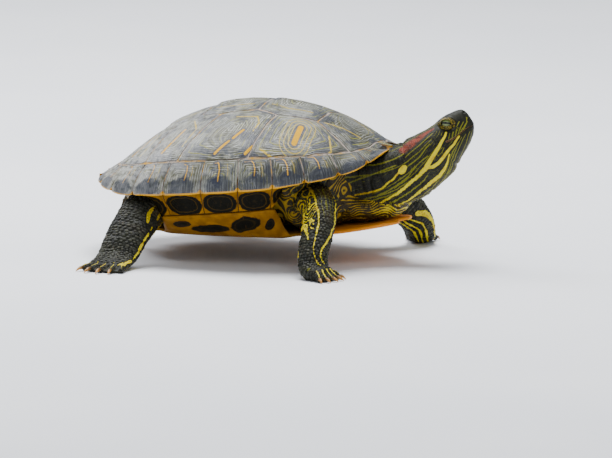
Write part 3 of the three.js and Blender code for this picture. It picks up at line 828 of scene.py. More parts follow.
limbStations = {
    "front_right": [
        station(40, -26, 46, 24, 10), station(57, -41, 46, 25, 10.5), station(69, -54, 40, 23, 9.5),
        station(73, -67, 27, 21, 7.6), station(74, -77, 14.5, 19, 7, None, (.9, .3, 0)),
        station(77, -82, 5.5, 19.5, 6.4, None, (.6, .8, 0)),
        station(84.5, -84.5, 4.3, 18.5, 4.8, None, (.35, .94, 0))],
    "front_left": [
        station(40, 26, 46, 24, 10), station(57, 40, 43, 25, 10.5), station(73, 50, 36, 25, 9.5),
        station(84, 60, 26, 24, 8.4, None, (.93, .37, 0)), station(88, 69, 16, 22, 7.2, None, (.93, .3, 0)),
        station(87, 77, 7.6, 20, 6.2, None, (.97, .2, 0)),
        station(84, 86, 3.8, 18.5, 4.7, None, (.97, .2, 0))],
    "hind_right": [
        station(-38, -26, 39, 27, 10), station(-46, -43, 38, 30, 12), station(-50, -57, 33.5, 30, 11.5),
        station(-53, -69, 25, 29.5, 9.4), station(-55, -79, 16.5, 28.5, 7.6),
        station(-57, -89, 6.6, 26.5, 5.6),
        station(-58.5, -101, 2.9, 27, 3.5)],
    "hind_left": [
        station(-38, 26, 39, 27, 10), station(-47, 42, 38, 30, 12),
        station(-54, 56, 33.5, 30, 11.5, None, (.97, .25, 0)),
        station(-60, 67, 25, 29.5, 9.4, None, (.92, .4, 0)),
        station(-65, 76, 16.5, 28.5, 7.6, None, (.88, .48, 0)),
        station(-70, 84, 6.6, 26.5, 5.6, None, (.86, .5, 0)),
        station(-76.5, 95, 2.9, 27, 3.5, None, (.86, .5, 0))],
}
hand = {"fan": 56, "toes": [5, 6.5, 7, 6.5, 5.5], "claws": [4.5, 5, 5, 5, 4]}
paddle = {"fan": 44, "toes": [7, 9, 9.5, 9, 6.5], "claws": [6, 6.5, 6.5, 6, 0]}
headings = {"front_right": -20, "front_left": 102, "hind_right": -94, "hind_left": 120}
toe = {"width": 4.8, "height": 2.3, "clawBase": 2.6}
tailStations = [station(*row, None, (0, 1, 0)) for row in (
    (-60, 0, 41, 17, 7), (-74, -1, 37.5, 15, 6.4), (-83, -2.5, 31, 11, 5), (-86.5, -4.5, 23, 7.6, 3.7),
    (-86.5, -6.5, 15.5, 4.8, 2.4), (-84.5, -8.5, 9, 1.8, 0.9))]
# behind the beak's tip, width, above and below the mouth line
headSections = [
    (50, 32.5, 14.5, 24), (42, 31.5, 14.2, 22.8), (34, 31, 13.4, 21.6), (27, 30, 12.9, 20.2),
    (22, 27.6, 13.3, 17.6),
    (17, 24, 14.3, 14.4), (12, 20.4, 14.6, 12), (8, 17, 14.2, 9.8), (4, 13.2, 13.6, 6.8),
    (1.3, 10.2, 12.6, 3.8),
    (0, 7.5, 10.8, 1.6)]
pitch, yaw = math.radians(head["pitch"]), math.radians(head["yaw"])
headForward = np.array([math.cos(pitch) * math.cos(yaw), math.cos(pitch) * math.sin(yaw), math.sin(pitch)])
headLeft = np.array([-math.sin(yaw), math.cos(yaw), 0])
headUp = np.cross(headForward, headLeft)
beakTip = np.array(head["tip"], float)


def headPoint(behind, aside, above):
    return beakTip - headForward * behind + headLeft * aside + headUp * above


def inHead(points):
    way = points - beakTip
    return np.column_stack([-(way @ headForward), way @ headLeft, way @ headUp])


neckStations = [
    station(40, 0, 58, 38, 15, 17, (0, 1, 0)), station(60, 0, 56, 44, 16, 20, (0, 1, 0)),
    station(80, -.5, 57, 43, 16, 22, (0, 1, 0)), station(95, -.8, 59.5, 38, 15.5, 23.5, (-.08, 1, 0))]
neckStations += [station(*headPoint(b, 0, 0), w, up, down, headLeft) for b, w, up, down in headSections]


# loose skin of the throat and chest, resting between neck and belly plate
chestStations = [
    station(56, 0, 41, 52, 12, None, (0, 1, 0)), station(74, 1, 38, 52, 12, None, (0, 1, 0)),
    station(88, 3, 37, 44, 10.5, None, (0, 1, 0)), station(99, 4, 39, 31, 8.5, None, (0, 1, 0)),
    station(108, 5, 44, 15, 5, None, (0, 1, 0))]


def splineRows(rows, t):
    # centripetal spline through the rows' places; their other numbers follow smoothly
    rows = np.asarray(rows, float)
    last = len(rows) - 1
    i = np.minimum(np.floor(t * last).astype(int), last - 1)
    f = (t * last - i)[:, None]
    padded = np.vstack([2 * rows[0] - rows[1], rows, 2 * rows[-1] - rows[-2]])
    p0, p1, p2, p3 = (padded[i + k] for k in range(4))

    def gap(a, b):
        return np.maximum(np.linalg.norm((a - b)[:, :3], axis=1), 1e-6)[:, None] ** 0.5
    d0, d1, d2 = gap(p0, p1), gap(p1, p2), gap(p2, p3)
    t1 = ((p1 - p0) / d0 - (p2 - p0) / (d0 + d1) + (p2 - p1) / d1) * d1
    t2 = ((p2 - p1) / d1 - (p3 - p1) / (d1 + d2) + (p3 - p2) / d2) * d1
    cubic = p1 + t1 * f + (-3 * p1 + 3 * p2 - 2 * t1 - t2) * f ** 2 + (2 * p1 - 2 * p2 + t1 + t2) * f ** 3
    eased = (f * f * (3 - 2 * f)) * 0.4 + f * 0.6
    cubic[:, 3:] = (p1 + (p2 - p1) * eased)[:, 3:]
    return cubic


def loftFrame(stations, along):
    t = np.linspace(0, 1, along)
    rows = splineRows(stations, t)
    for _ in range(max(2, along // 40)):
        rows[1:-1, 3:] = rows[1:-1, 3:] * 0.5 + (rows[:-2, 3:] + rows[2:, 3:]) * 0.25
    centre = rows[:, :3]
    tangent = unit(np.gradient(centre, axis=0), 0)
    across = rows[:, 6:9]
    across = unit(across - tangent * np.sum(across * tangent, 1)[:, None], 0)
    step = np.linalg.norm(np.diff(centre, axis=0), axis=1)
    return {"centre": centre, "tangent": tangent, "across": across, "up": np.cross(tangent, across),
            "size": rows[:, 3:6], "length": np.concatenate([[0], np.cumsum(step)])}


def loftPoints(frame, around, power, inset=0.0):
    angle = np.arange(around) / around * 2 * np.pi
    c, s = np.cos(angle), np.sin(angle)
    cx = np.sign(c) * np.abs(c) ** (2 / power)
    sy = np.sign(s) * np.abs(s) ** (2 / power)
    half = frame["size"][:, :1] / 2 - inset
    rise = np.where(s[None] > 0, frame["size"][:, 1:2], frame["size"][:, 2:3]) - inset
    sideways = frame["across"][:, None] * (np.maximum(half, 0.3) * cx[None])[..., None]
    upwards = frame["up"][:, None] * (np.maximum(rise, 0.3) * sy[None])[..., None]
    return frame["centre"][:, None] + sideways + upwards


def tubeMesh(grid, roundness=4):
    # closes a loft with rounded ends
    along, around = grid.shape[:2]
    ends = []
    for row, ahead in ((0, 1), (-1, -2)):
        middle = grid[row].mean(0)
        out = middle - grid[ahead].mean(0)
        out /= np.linalg.norm(out) + 1e-9
        size = min(np.linalg.norm(grid[row] - middle, axis=1).min() * 0.8, roundness)
        ends.append([middle + (grid[row] - middle) * 0.75 + out * size * 0.7,
                     middle + (grid[row] - middle) * 0.35 + out * size * 0.95, (middle + out * size)[None]])
    a, b = ends
    points = np.vstack([a[2], a[1], a[0], grid.reshape(-1, 3), b[0], b[1], b[2]])
    rings = along + 4
    quads = gridFaces(rings, around, 1)
    tris = endFans(len(points), around)
    return points, quads, tris


def toeFrames(name):
    # each toe's stations and its claw's, fanned round the foot's heading
    foot = dict(hand if name.startswith("front") else paddle)
    if name.endswith("left"):
        foot = {"fan": foot["fan"], "toes": foot["toes"][::-1], "claws": foot["claws"][::-1]}
    knuckles, width = np.array(limbStations[name][-1][:3]), limbStations[name][-1][3]
    heading = headings[name]
    row = np.array([-math.sin(math.radians(heading)), math.cos(math.radians(heading)), 0])
    toes = []
    for i, (length, claw) in enumerate(zip(foot["toes"], foot["claws"])):
        share = i / 4 - 0.5
        x, y, z = knuckles + row * share * (width - toe["width"])
        turn = math.radians(heading + share * foot["fan"])
        c, s = math.cos(turn), math.sin(turn)

        def at(distance, height, wide, half):
            return station(x + c * distance, y + s * distance, height, wide, half, None, (-s, c, 0))
        w, h, base = toe["width"], toe["height"], toe["clawBase"]
        flesh = [at(-5, z, w, h), at(length * 0.35, max(z - 0.4, h), w * 0.98, h * 1.05),
                 at(length * 0.8, h * 0.95, w * 0.9, h), at(length + 0.6, h * 0.85, w * 0.55, h * 0.66)]
        horn = [at(length - 1.2, h * 1.05, base * 0.8, base * 0.42),
                at(length + claw * 0.3, h * 1.06, base * 0.86, base * 0.42),
                at(length + claw * 0.68, h * 0.76, base * 0.55, base * 0.28),
                at(length + claw, 0.65, 0.5, 0.25)] if claw else None
        toes.append((flesh, horn))
    return toes


skinParts = []  # each: name, frame, points of its loft


def addPart(name, stations, around, along, power):
    frame = loftFrame(stations, along)
    grid = loftPoints(frame, around, power, skin["coat"])
    skinParts.append({"name": name, "frame": frame, "grid": grid})
    return tubeMesh(grid, 0.9 if name == "neck" else 4)


def trunkGrid():
    around = 200
    ex, ey = outlinePoint(np.arange(around) / around)
    rows = []
    top = np.concatenate([np.linspace(0.02, trunk["ring"] - 0.03, 40), [trunk["ring"] - 0.008]])
    under = np.linspace(0.72, 0.02, 40)

    def floorAt(x, y):
        bridged = bridgeShare(x)
        lobe = lobeWidth(x)
        across = np.minimum(np.abs(y), mix(lobe, np.abs(y), bridged))
        floor = bellyOuter(x, across) + belly["wall"] + trunk["clearance"]
        socket = np.maximum(0, np.abs(y) - lobe + 4) * (1 - bridged) * trunk["socketRise"]
        return floor + socket + bridged * ramp(np.abs(y), 26, 52) * trunk["bridgeRise"]
    for ring in top:
        x, y = ex * ring, ey * ring
        roof = underside(x, y) - trunk["clearance"]
        rows.append(np.column_stack([x, y, np.maximum(roof, floorAt(x, y) + 3)]))
    x, y = ex * trunk["ring"], ey * trunk["ring"]
    roof, low = underside(x, y) - trunk["clearance"], floorAt(x, y)
    side = np.minimum(roof - 3, low + trunk["faceDepth"])
    for share in (0.2, 0.6, 1):
        rows.append(np.column_stack([x, y, mix(np.maximum(roof, low + 3) - 0.5, side, share)]))
    for ring in np.concatenate([[0.8, 0.76], under]):
        x, y = ex * ring, ey * ring
        target = np.minimum(floorAt(x, y), underside(x, y) - 6.7)
        share = ramp(ring, 0.835, 0.72)
        rows.append(np.column_stack([x, y, mix(side, target, share) if ring > 0.72 else target]))
    return np.stack(rows)


def joinMeshes(parts):
    points, quads, tris, total = [], [], [], 0
    for p, q, t in parts:
        points.append(p)
        quads.append(np.asarray(q) + total)
        tris.append(np.asarray(t) + total)
        total += len(p)
    return np.vstack(points), np.vstack(quads), np.vstack(tris)


def webBetween(a, b):
    # a thin web of skin from one toe to the next, a little short of their tips
    rowsA, rowsB = splineRows(a, np.linspace(0, 0.8, 8)), splineRows(b, np.linspace(0, 0.8, 8))
    rows = []
    for ra, rb, share in zip(rowsA, rowsB, np.linspace(0, 1, 8)):
        middle, way = (ra[:3] + rb[:3]) / 2, rb[:3] - ra[:3]
        middle[2] = mix(min(middle[2], 1.9), 1.15, share)
        rows.append(station(*middle, np.linalg.norm(way), 1.1 - 0.3 * share, None, way / np.linalg.norm(way)))
    return rows


# markings of head and neck: millimetres back from the beak along the neck and degrees round it,
# with 90 on top and 180 at the right side; then half widths
neckBands = [
    ([(15.8, 155), (17.6, 164), (23.9, 181), (31.5, 195), (34.5, 200), (38.5, 207), (44.9, 212), (48.5, 214),
      (53.7, 222), (61.9, 228), (69.2, 236), (110, 240)], (0.7, 1.1, 1.35, 0.75, 0.5, 0.42, 0.4, 0.4, 0.4)),
    ([(10.3, 189), (15.1, 200), (20.8, 204), (25.4, 209), (29.7, 213), (34.3, 213), (37.5, 207)],
     (0.8, 1.0, 0.9)),
    ([(21.1, 214), (24.6, 224), (29, 232), (34.3, 238), (41.3, 238), (48.5, 240), (57.7, 252), (110, 262)],
     (0.3, 0.95, 0.85, 0.45, 0.4, 0.35, 0.35, 0.35, 0.35)),
    ([(49.2, 180), (50.6, 185)], (1.5, 1.7)),
    ([(50, 184), (52.2, 186), (56.2, 196), (59.8, 200), (63.5, 207), (70, 210), (110, 214)],
     (0.45, 0.4, 0.4)),
]
neckLines = [
    ([(28, 163), (32.2, 168), (37.3, 177), (42.1, 180), (47.9, 181)], 0.32),
    ([(3.4, 139), (6.8, 160), (10, 180)], 0.26), ([(8.8, 158), (12.1, 181)], 0.27),
    ([(0.4, 118), (2.2, 150), (6, 177)], 0.26), ([(14, 162), (16.4, 177)], 0.24),
    ([(1.3, 141), (4.7, 163), (8.2, 178)], 0.35), ([(5.5, 134), (7.8, 147)], 0.28),
    ([(11.7, 163), (14.2, 179)], 0.3),
    ([(33.2, 186), (37.3, 187), (42.7, 191), (47.1, 196), (49.7, 203), (55.7, 210), (67.1, 218)], 0.3),
    ([(20, 172), (28, 182), (36, 193), (46, 202), (58, 214)], 0.2),
    ([(26, 154), (36, 166), (46, 171), (60, 176), (110, 180)], 0.22),
    ([(12, 205), (20, 218), (30, 240), (44, 250), (70, 262)], 0.25),
    ([(6, 200), (14, 222), (22, 238), (36, 256), (60, 268)], 0.28),
    ([(3, 205), (9, 232), (18, 252), (34, 268)], 0.25), ([(9, 198), (15, 214), (21, 228), (30, 246)], 0.22),
    ([(1.5, 215), (6, 245), (14, 262)], 0.22), ([(24, 140), (34, 152), (46, 160)], 0.25),
    ([(36, 201), (46, 209), (56, 217), (80, 222)], 0.25),
    ([(40, 222), (52, 232), (70, 246), (110, 248)], 0.28), ([(44, 190), (56, 204), (70, 214)], 0.2),
    ([(18, 110), (30, 112), (46, 122), (70, 135), (110, 140)], 0.22),
    ([(22, 97), (34, 99), (50, 106), (80, 110)], 0.18), ([(46, 150), (60, 158), (80, 160), (110, 162)], 0.35),
    ([(52, 168), (66, 176), (80, 186), (110, 192)], 0.3), ([(60, 240), (80, 250), (110, 254)], 0.4),
    ([(56, 222), (70, 225), (110, 228)], 0.3),
    ([(21.5, 190), (24, 197), (27.5, 199), (27, 191), (22.5, 187)], 0.2)]
redPatch = ([(22.3, 125), (27.1, 124), (33, 129), (39.3, 134), (44.6, 138)], (0.6, 1.8, 2.6, 3.1, 3.0))
mouthLine = [(-0.5, 184), (1.4, 180), (4.1, 177.5), (7.6, 180), (11.9, 184), (15.5, 183), (18.3, 180)]
limbBands = {
    "front_right": [([(20, 20), (44, 11), (55, 2), (63, 10), (73.7, 42), (79.2, 52), (90, 40)], 0.6),
                    ([(30, 100), (46.3, 89), (50.3, 77), (58.4, 70), (68.4, 79), (74.8, 85), (81.7, 82),
                      (97, 93)], 0.5),
                    ([(48, 150), (55.3, 148), (64.1, 127), (68.9, 114)], 0.55), ([(75, 175), (78, 172)], 0.8),
                    ([(20, 225), (95, 235)], 0.5), ([(20, 290), (95, 300)], 0.6)],
    "front_left": [([(64, 46), (65.5, 34), (68.1, 20), (73.9, 9), (78.1, 8), (84.5, 5), (96, 14)],
                    (1.6, 1.5, 1.1, 0.95, 0.9, 0.9, 0.8)),
                   ([(63, 96), (67.6, 72), (71.5, 51), (76.5, 48), (83, 45), (97, 40)], 0.6),
                   ([(64, 122), (71.5, 96), (74.7, 79), (80.8, 72), (87, 70), (97, 68)], 0.8),
                   ([(62, 150), (78, 108), (90, 92)], 0.75), ([(10, 200), (95, 190)], 0.7),
                   ([(10, 250), (95, 250)], 0.7)],
    "hind_right": [([(15, 30), (43, 38), (52, 20)], 0.7), ([(36, 14), (60, 7), (80, 8), (112, 14)], 0.5),
                   ([(15, -22), (60, -16), (110, -14)], 0.75), ([(15, 170), (110, 176)], 0.5),
                   ([(15, 250), (110, 240)], 0.4)],
    "hind_left": [([(15, 12), (60, 18), (110, 30)], 0.6), ([(15, -22), (60, -14), (110, -20)], 0.7),
                  ([(15, -52), (110, -62)], 0.35), ([(15, 170), (110, 176)], 0.5),
                  ([(15, 250), (110, 240)], 0.4)],
    "tail": [([(0, 30), (60, 40)], 0.35), ([(0, 150), (60, 140)], 0.35), ([(0, 270), (60, 270)], 0.5)],
}


def bandGap(along, angle, radius, path, half):
    # signed distance to a stripe, in millimetres, on the unrolled skin
    unrolled = np.column_stack([along, np.radians(angle) * radius])
    flat = [(a, math.radians(b) * radius) for a, b in path]
    gap, share = toSegments(unrolled, flat)
    half = np.atleast_1d(half)
    return gap - np.interp(share, np.linspace(0, 1, len(half)), half) if len(half) > 1 else gap - half[0]


# bend and level of the lines, then how much of the skin they cover
whorl = {"chest": (2.6, 0.36, 0.46), "armpit": (4.6, 0.14, 0.42)}


def whorls(place, bend, level, cover):
    # loops and streaks of yellow on the loose skin round the limbs
    field = cloudNoise(place * [1, 1, 0.7], 12, 77, 2) * bend + place[:, 2] * level
    return fromLine(field * 1.4) * 2.6 - cover


def markings(part, along, angle, place):
    # stripe: bold yellow, thin: fine lines, red: the ear patch, pale: how light the ground colour is
    wobble = cloudNoise(place, 4.5, 71, 2) * 0.45
    stripe, thin = np.full(len(along), 9.0), np.full(len(along), 9.0)
    red, pale = np.full(len(along), 9.0), np.zeros(len(along))
    if part == "neck":
        folded = np.mod(angle, 360)
        folded = np.where((folded < 90) | (folded > 270), np.mod(180 - folded, 360), folded)
        bold = np.full(len(along), 99.0)
        for path, half in neckBands:
            bold = np.minimum(bold, bandGap(along, folded, 14, path, half))
        for path, half in neckLines:
            thin = np.minimum(thin, bandGap(along, folded, 14, path, half))
        stripe = bold + wobble * 0.35
        red = bandGap(along, folded, 14, *redPatch) + wobble * 0.5
        contour = fromLine(bold / 1.75 + 0.35 + cloudNoise(place, 7, 73) * 0.35) * 1.75 - 0.12
        allowed = ramp(along, 1, 6) * ramp(folded, 122, 140)
        broken = cloudNoise(place, 3.2, 75) * 0.25 + 0.15 + (1 - allowed) * 2
        thin = np.minimum(thin + wobble * 0.3, np.where(bold < 8.5, contour + np.maximum(broken, 0), 9))
        pale = ramp(folded, 240, 262) * ramp(along, 4, 14) * 0.1
    elif part in ("trunk", "chest"):
        isChest = part == "chest"
        stripe = whorls(place, *(whorl["chest"] if isChest else whorl["armpit"])) + wobble * 0.5
        stripe = stripe + cloudNoise(place * [0.6, 0.6, 1], 3.5, 89) * (0.5 if isChest else 0.3)
        thin = stripe + 0.9
        pale = np.full(len(along), 0.16 if isChest else 0.1)
    elif "toe" in part:
        stripe = turnedFrom(angle, 90) * 0.04 - 0.38 + wobble * 0.6 + (0.12 if "hind" in part else 0)
    else:
        radius = 9 if part != "tail" else 5
        angle = np.mod(angle + 90, 360) - 90
        for path, half in limbBands[part]:
            for turn in (-360, 0, 360):
                moved = [(a, b + turn) for a, b in path]
                stripe = np.minimum(stripe, bandGap(along, angle, radius, moved, half))
        bold = stripe
        stripe = stripe + wobble
        lines = fromLine(bold / 2.1 + cloudNoise(place, 8, 81) * 0.5) * 2.1 - 0.16
        root = ramp(along, 60, 40)
        thin = lines + np.maximum(cloudNoise(place, 3.5, 83) * 0.5 + 0.35 - 0.5 * root, 0)
        if part.startswith("hind"):
            stripe = stripe + np.maximum(cloudNoise(place, 3, 85) * 1.4, 0)
            thin = thin + 0.35
        if part.startswith("front"):
            loose = ramp(along, 70, 62) * ramp(turnedFrom(angle, 145), 62, 52)
            stripe = mix(stripe, np.minimum(stripe, whorls(place, *whorl["armpit"])), loose)
        pale = root * 0.2 * ramp(cloudNoise(place, 12, 87), -0.2, 0.5)
    return {"stripe": stripe, "thin": thin, "red": red, "pale": pale}


def eyeFrame(side):
    centre = headPoint(eye["behind"], side * eye["aside"], eye["above"])
    out = headLeft * side + headUp * 0.3 + headForward * 0.16
    out /= np.linalg.norm(out)
    tilt = math.radians(eye["slitTilt"])
    slit = headForward * math.cos(tilt) - headUp * math.sin(tilt)
    slit = slit - out * (slit @ out)
    slit /= np.linalg.norm(slit)
    lift = np.cross(out, slit) * -side
    if lift @ headUp < 0:
        lift = -lift
    return centre, slit, lift, out


# size and thickness of the lids, the opening between them, their rolled edge, creases and fine folds
lids = {"length": 5.5, "height": 3.9, "proud": 0.55, "openLength": 3.3, "openHeight": 2.1, "openShift": -0.1,
        "roll": 0.22, "outerCrease": -0.4, "innerCrease": 0.16, "fold": 0.05, "openDepth": 1.7}


def shapeLids(points):
    lidShare = np.zeros(len(points))
    for side in (1, -1):
        centre, slit, lift, out = eyeFrame(side)
        way = points - centre
        a, b, c = way @ slit, way @ lift, way @ out
        near = np.hypot(a / lids["length"], b / lids["height"])
        facing = (c > 0) & (near < 1.6)
        radius = eye["radius"] + lids["proud"]
        shut = ramp(near, 1.35, 0.85)
        flat = np.hypot(a, b)
        depth = np.sqrt(np.maximum(radius ** 2 - np.minimum(flat, radius * 0.98) ** 2, 0.05))
        height = lids["openHeight"] * np.sqrt(np.maximum(1 - (a / lids["openLength"]) ** 2, 0))
        fromSlit = np.abs(b - lids["openShift"]) - height
        inSlit = ramp(fromSlit, 0.12, -0.12) * (np.abs(a) < lids["openLength"])
        rolled = lids["roll"] * bell(fromSlit, 0.3, 0.28)
        crease = lids["outerCrease"] * bell(near, 1.08, 0.1) - lids["innerCrease"] * bell(near, 0.78, 0.06)
        fold = lids["fold"] * np.sin(near * 34) * ramp(near, 0.45, 0.7)
        target = depth + rolled + crease + fold - inSlit * lids["openDepth"]
        moved = mix(c, target, shut)
        c2 = np.where(facing, moved, c)
        points = points + (c2 - c)[:, None] * out
        lidShare = np.maximum(lidShare, np.where(facing, ramp(near, 1.15, 0.95), 0))
    return points, lidShare


def refineNear(piece, centre, radius):
    # one finer step of mesh within a ball
    bm = bmesh.new()
    bm.from_mesh(piece.data)
    middle = Vector((np.array(centre) + shellMiddle) / 1000)
    reach = (radius / 1000) ** 2
    faces = [f for f in bm.faces if (f.verts[0].co - middle).length_squared < reach]
    edges = list({e for f in faces for e in f.edges})
    bmesh.ops.subdivide_edges(bm, edges=edges, cuts=1, use_grid_fill=True, smooth=0)
    bm.to_mesh(piece.data)
    bm.free()


def buildSkin():
    meshes = []
    grid = trunkGrid()
    skinParts.append({"name": "trunk", "grid": grid[:, ::2], "frame": None})
    around = grid.shape[1]
    flat = grid.reshape(-1, 3)
    ends = np.array([grid[0].mean(0), grid[-1].mean(0)])
    quads = gridFaces(len(grid), around)
    tris = np.vstack([fanFaces(len(flat), 0, around, flip=True),
                      fanFaces(len(flat) + 1, len(flat) - around, around)])
    meshes.append((np.vstack([flat, ends]), quads[:, ::-1], tris[:, ::-1]))
    meshes.append(addPart("neck", neckStations, *skin["neck"]))
    meshes.append(addPart("chest", chestStations, *skin["chest"]))
    meshes.append(addPart("tail", tailStations, *skin["tail"]))
    for name, rows in limbStations.items():
        meshes.append(addPart(name, rows, *skin["limb"]))
        toes = toeFrames(name)
        for i, (flesh, _) in enumerate(toes):
            meshes.append(addPart(f"{name}_toe_{i + 1}", flesh, *skin["toe"]))
        if name.startswith("hind"):
            for i in range(4):
                web = loftFrame(webBetween(toes[i][0], toes[i + 1][0]), 24)
                meshes.append(tubeMesh(loftPoints(web, 40, 2)))
    piece = makeObject("turtle_skin", *joinMeshes(meshes))
    union = piece.modifiers.new("one skin", "REMESH")
    union.mode, union.voxel_size = "VOXEL", skin["voxel"] / 1000
    even = piece.modifiers.new("even", "SMOOTH")
    even.factor, even.iterations = 0.5, 4
    applied(piece)
    refineNear(piece, headPoint(20, 0, 0), 30)
    refineNear(piece, headPoint(11, 0, 5), 15.5)
    return piece


def placesOnLofts(points, partOf, row):
    # millimetres along each point's loft and degrees round it
    along, angle = np.zeros(len(points)), np.zeros(len(points))
    for k, part in enumerate(skinParts):
        mine = partOf == k
        if part["frame"] is None or not mine.any():
            continue
        f, r = part["frame"], row[mine]
        way = points[mine] - f["centre"][r]
        along[mine] = f["length"][r] + np.clip(np.sum(way * f["tangent"][r], 1), -2, 2)
        if part["name"] == "neck":
            along[mine] = f["length"][-1] - along[mine]
        angle[mine] = np.degrees(np.arctan2(np.sum(way * f["up"][r], 1), np.sum(way * f["across"][r], 1)))
    return along, angle


def skinPlaces(points):
    # which loft a point of skin lies on, how far along it and how far round
    names, rows, places = [], [], []
    for k, part in enumerate(skinParts):
        grid = part["grid"]
        count = grid.shape[0] * grid.shape[1]
        names.append(np.full(count, k))
        rows.append(np.repeat(np.arange(grid.shape[0]), grid.shape[1]))
        places.append(grid.reshape(-1, 3))
    names, rows, places = np.concatenate(names), np.concatenate(rows), np.vstack(places)
    tree = treeOf(places)
    nearest = np.array([tree.find(p)[1] for p in points.tolist()])
    partOf = names[nearest]
    along, angle = placesOnLofts(points, partOf, rows[nearest])
    return partOf, along, angle


def markPlaces(partOf, along, angle, place):
    values = {key: np.zeros(len(place)) for key in ("stripe", "thin", "red", "pale")}
    for k, part in enumerate(skinParts):
        mine = partOf == k
        if mine.any():
            for key, value in markings(part["name"], along[mine], angle[mine], place[mine]).items():
                values[key][mine] = value
    # the loose skin under the shell is painted darker: painted shade of the shell
    values["shade"] = ramp(ringOf(place[:, 0], place[:, 1]), 1.12, 0.86) * ramp(place[:, 2], 12, 26)
    return values


# depths in millimetres: creases of each part, grain, the folds of nape and throat, lips, mouth, nostrils,
# the ring round the ear and the brow
folds = {"neck": 0.62, "limb": 0.34, "toe": 0.08, "trunk": 0.5, "grain": 0.1, "nape": 0.9, "throat": 0.8,
         "lips": 0.28, "mouth": 0.75, "nostril": 0.9, "ear": 0.3, "brow": 0.35}


def foldSkin(piece, partOf, along, angle):
    points, normals = pointsOf(piece), normalsOf(piece)
    isNeck = np.array([p["name"] == "neck" for p in skinParts])[partOf]
    isTrunk = np.array([p["name"] in ("trunk", "chest") for p in skinParts])[partOf]
    isToe = np.array(["toe" in p["name"] for p in skinParts])[partOf]
    arc = np.radians(angle) * 14
    warp = cloudNoise(points, 9, 91, 2) * 5
    rings = np.column_stack([along * 2.4 + warp, arc * 0.55, 0 * along])
    creases = -np.abs(cloudNoise(rings, 7, 92, 2)) * 2 + 0.5
    loose = cloudNoise(np.column_stack([along * 0.35, arc * 1.5 + warp * 0.5, 0 * along]), 6, 93, 2)
    onHead = np.where(isNeck, ramp(along, 46, 34), 0)
    amount = np.where(isNeck, folds["neck"] * (1 - onHead), np.where(isToe, folds["toe"], folds["limb"]))
    amount = np.where(isTrunk, folds["trunk"], amount)
    move = (creases + loose * 0.8) * amount
    move += cloudNoise(points, 1.6, 94) * folds["grain"] * (1 - 0.6 * onHead) * np.where(isToe, 0.5, 1)
    onTop = ramp(np.abs(np.mod(angle, 360) - 90), 75, 20)
    nape = np.where(isNeck, bell(along, 45, 1.6) * onTop, 0)
    ventral = np.where(isNeck, ramp(np.abs(np.mod(angle, 360) - 270), 65, 35), 0)
    move -= nape * folds["nape"] + folds["throat"] * ventral * bell(along, 22, 1.1)
    local = inHead(points)
    folded = np.mod(np.where(np.abs(angle) < 90, 180 - angle, angle), 360)
    lipLine = [(a, math.radians(b) * 12) for a, b in mouthLine]
    gap, _ = toSegments(np.column_stack([along, np.radians(folded) * 12]), lipLine)
    above = ramp(local[:, 2], -1.5, 1.5)
    closeUp = isNeck & (along < 24)
    lips = (folds["lips"] * (above * 2 - 1)) * bell(gap, 0, 2.2)
    move += np.where(closeUp, lips - folds["mouth"] * bell(gap, 0, 0.42), 0)
    for side in (1, -1):
        pit = np.linalg.norm(points - headPoint(0.9, side * 1.9, 9.6), axis=1)
        nostril = folds["nostril"] * bell(pit, 0, 0.75) - 0.15 * bell(pit, 1.3, 0.5)
        move -= np.where(closeUp, nostril, 0)
        ear = np.linalg.norm(points - headPoint(29, side * 14.5, 3.5), axis=1)
        move -= np.where(isNeck, folds["ear"] * bell(ear, 4.2, 0.8), 0)
        brow = np.linalg.norm(points - headPoint(14, side * 6.5, 14.5), axis=1)
        move += np.where(isNeck, folds["brow"] * bell(brow, 0, 3.5), 0)
    points = points + normals * move[:, None]
    points, lidShare = shapeLids(points)
    points[:, 2] = np.maximum(points[:, 2], 0.12)
    setPoints(piece, points)
    mouth = np.where(closeUp, gap, 9)
    return lidShare, mouth


def buildEyes():
    eyes = []
    for side, word in ((1, "left"), (-1, "right")):
        centre, slit, lift, out = eyeFrame(side)
        around = eye["around"]
        polar = np.linspace(0, np.pi, eye["rows"] + 1)[1:-1]
        turn = np.arange(around) / around * 2 * np.pi
        radius = eye["radius"] - 0.1
        bulge = radius + eye["bulge"] * bell(polar, 0, 0.55)
        sideways = np.cos(turn)[:, None] * slit + np.sin(turn)[:, None] * lift
        ringPoints = np.sin(polar)[:, None, None] * sideways + np.cos(polar)[:, None, None] * out
        ringPoints = ringPoints * bulge[:, None, None] + centre
        points = np.vstack([centre + out * (radius + eye["bulge"]), ringPoints.reshape(-1, 3),
                            centre - out * radius])
        quads = gridFaces(len(polar), around, 1)
        tris = endFans(len(points), around)
        if side < 0:
            quads, tris = quads[:, ::-1], tris[:, ::-1]
        piece = makeObject(f"eye_{word}_ball", points, quads, tris)
        way = points - centre
        paint(piece, fromPupil=np.hypot(way @ slit, way @ lift) + np.where(way @ out < 0, 9, 0),
              acrossEye=way @ lift)
        eyes.append(piece)
    return eyes


claw = {"along": 26, "around": 20, "rough": 0.05}


def buildClaws(name):
    along, around = claw["along"], claw["around"]
    parts, shares = [], []
    for _, horn in toeFrames(name):
        if horn:
            grid = loftPoints(loftFrame(horn, along), around, 2)
            grid = grid + cloudNoise(grid.reshape(-1, 3), 1.2, 101).reshape(along, around, 1) * claw["rough"]
            grid[..., 2] = np.maximum(grid[..., 2], 0.1)
            parts.append(tubeMesh(grid))
            cap = 2 * around + 1      # points in each rounded end
            length = np.repeat(np.linspace(0, 1, along), around)
            shares.append(np.concatenate([np.zeros(cap), length, np.ones(cap)]))
    piece = makeObject(name + "_claws", *joinMeshes(parts))
    paint(piece, tip=np.concatenate(shares))
    return piece


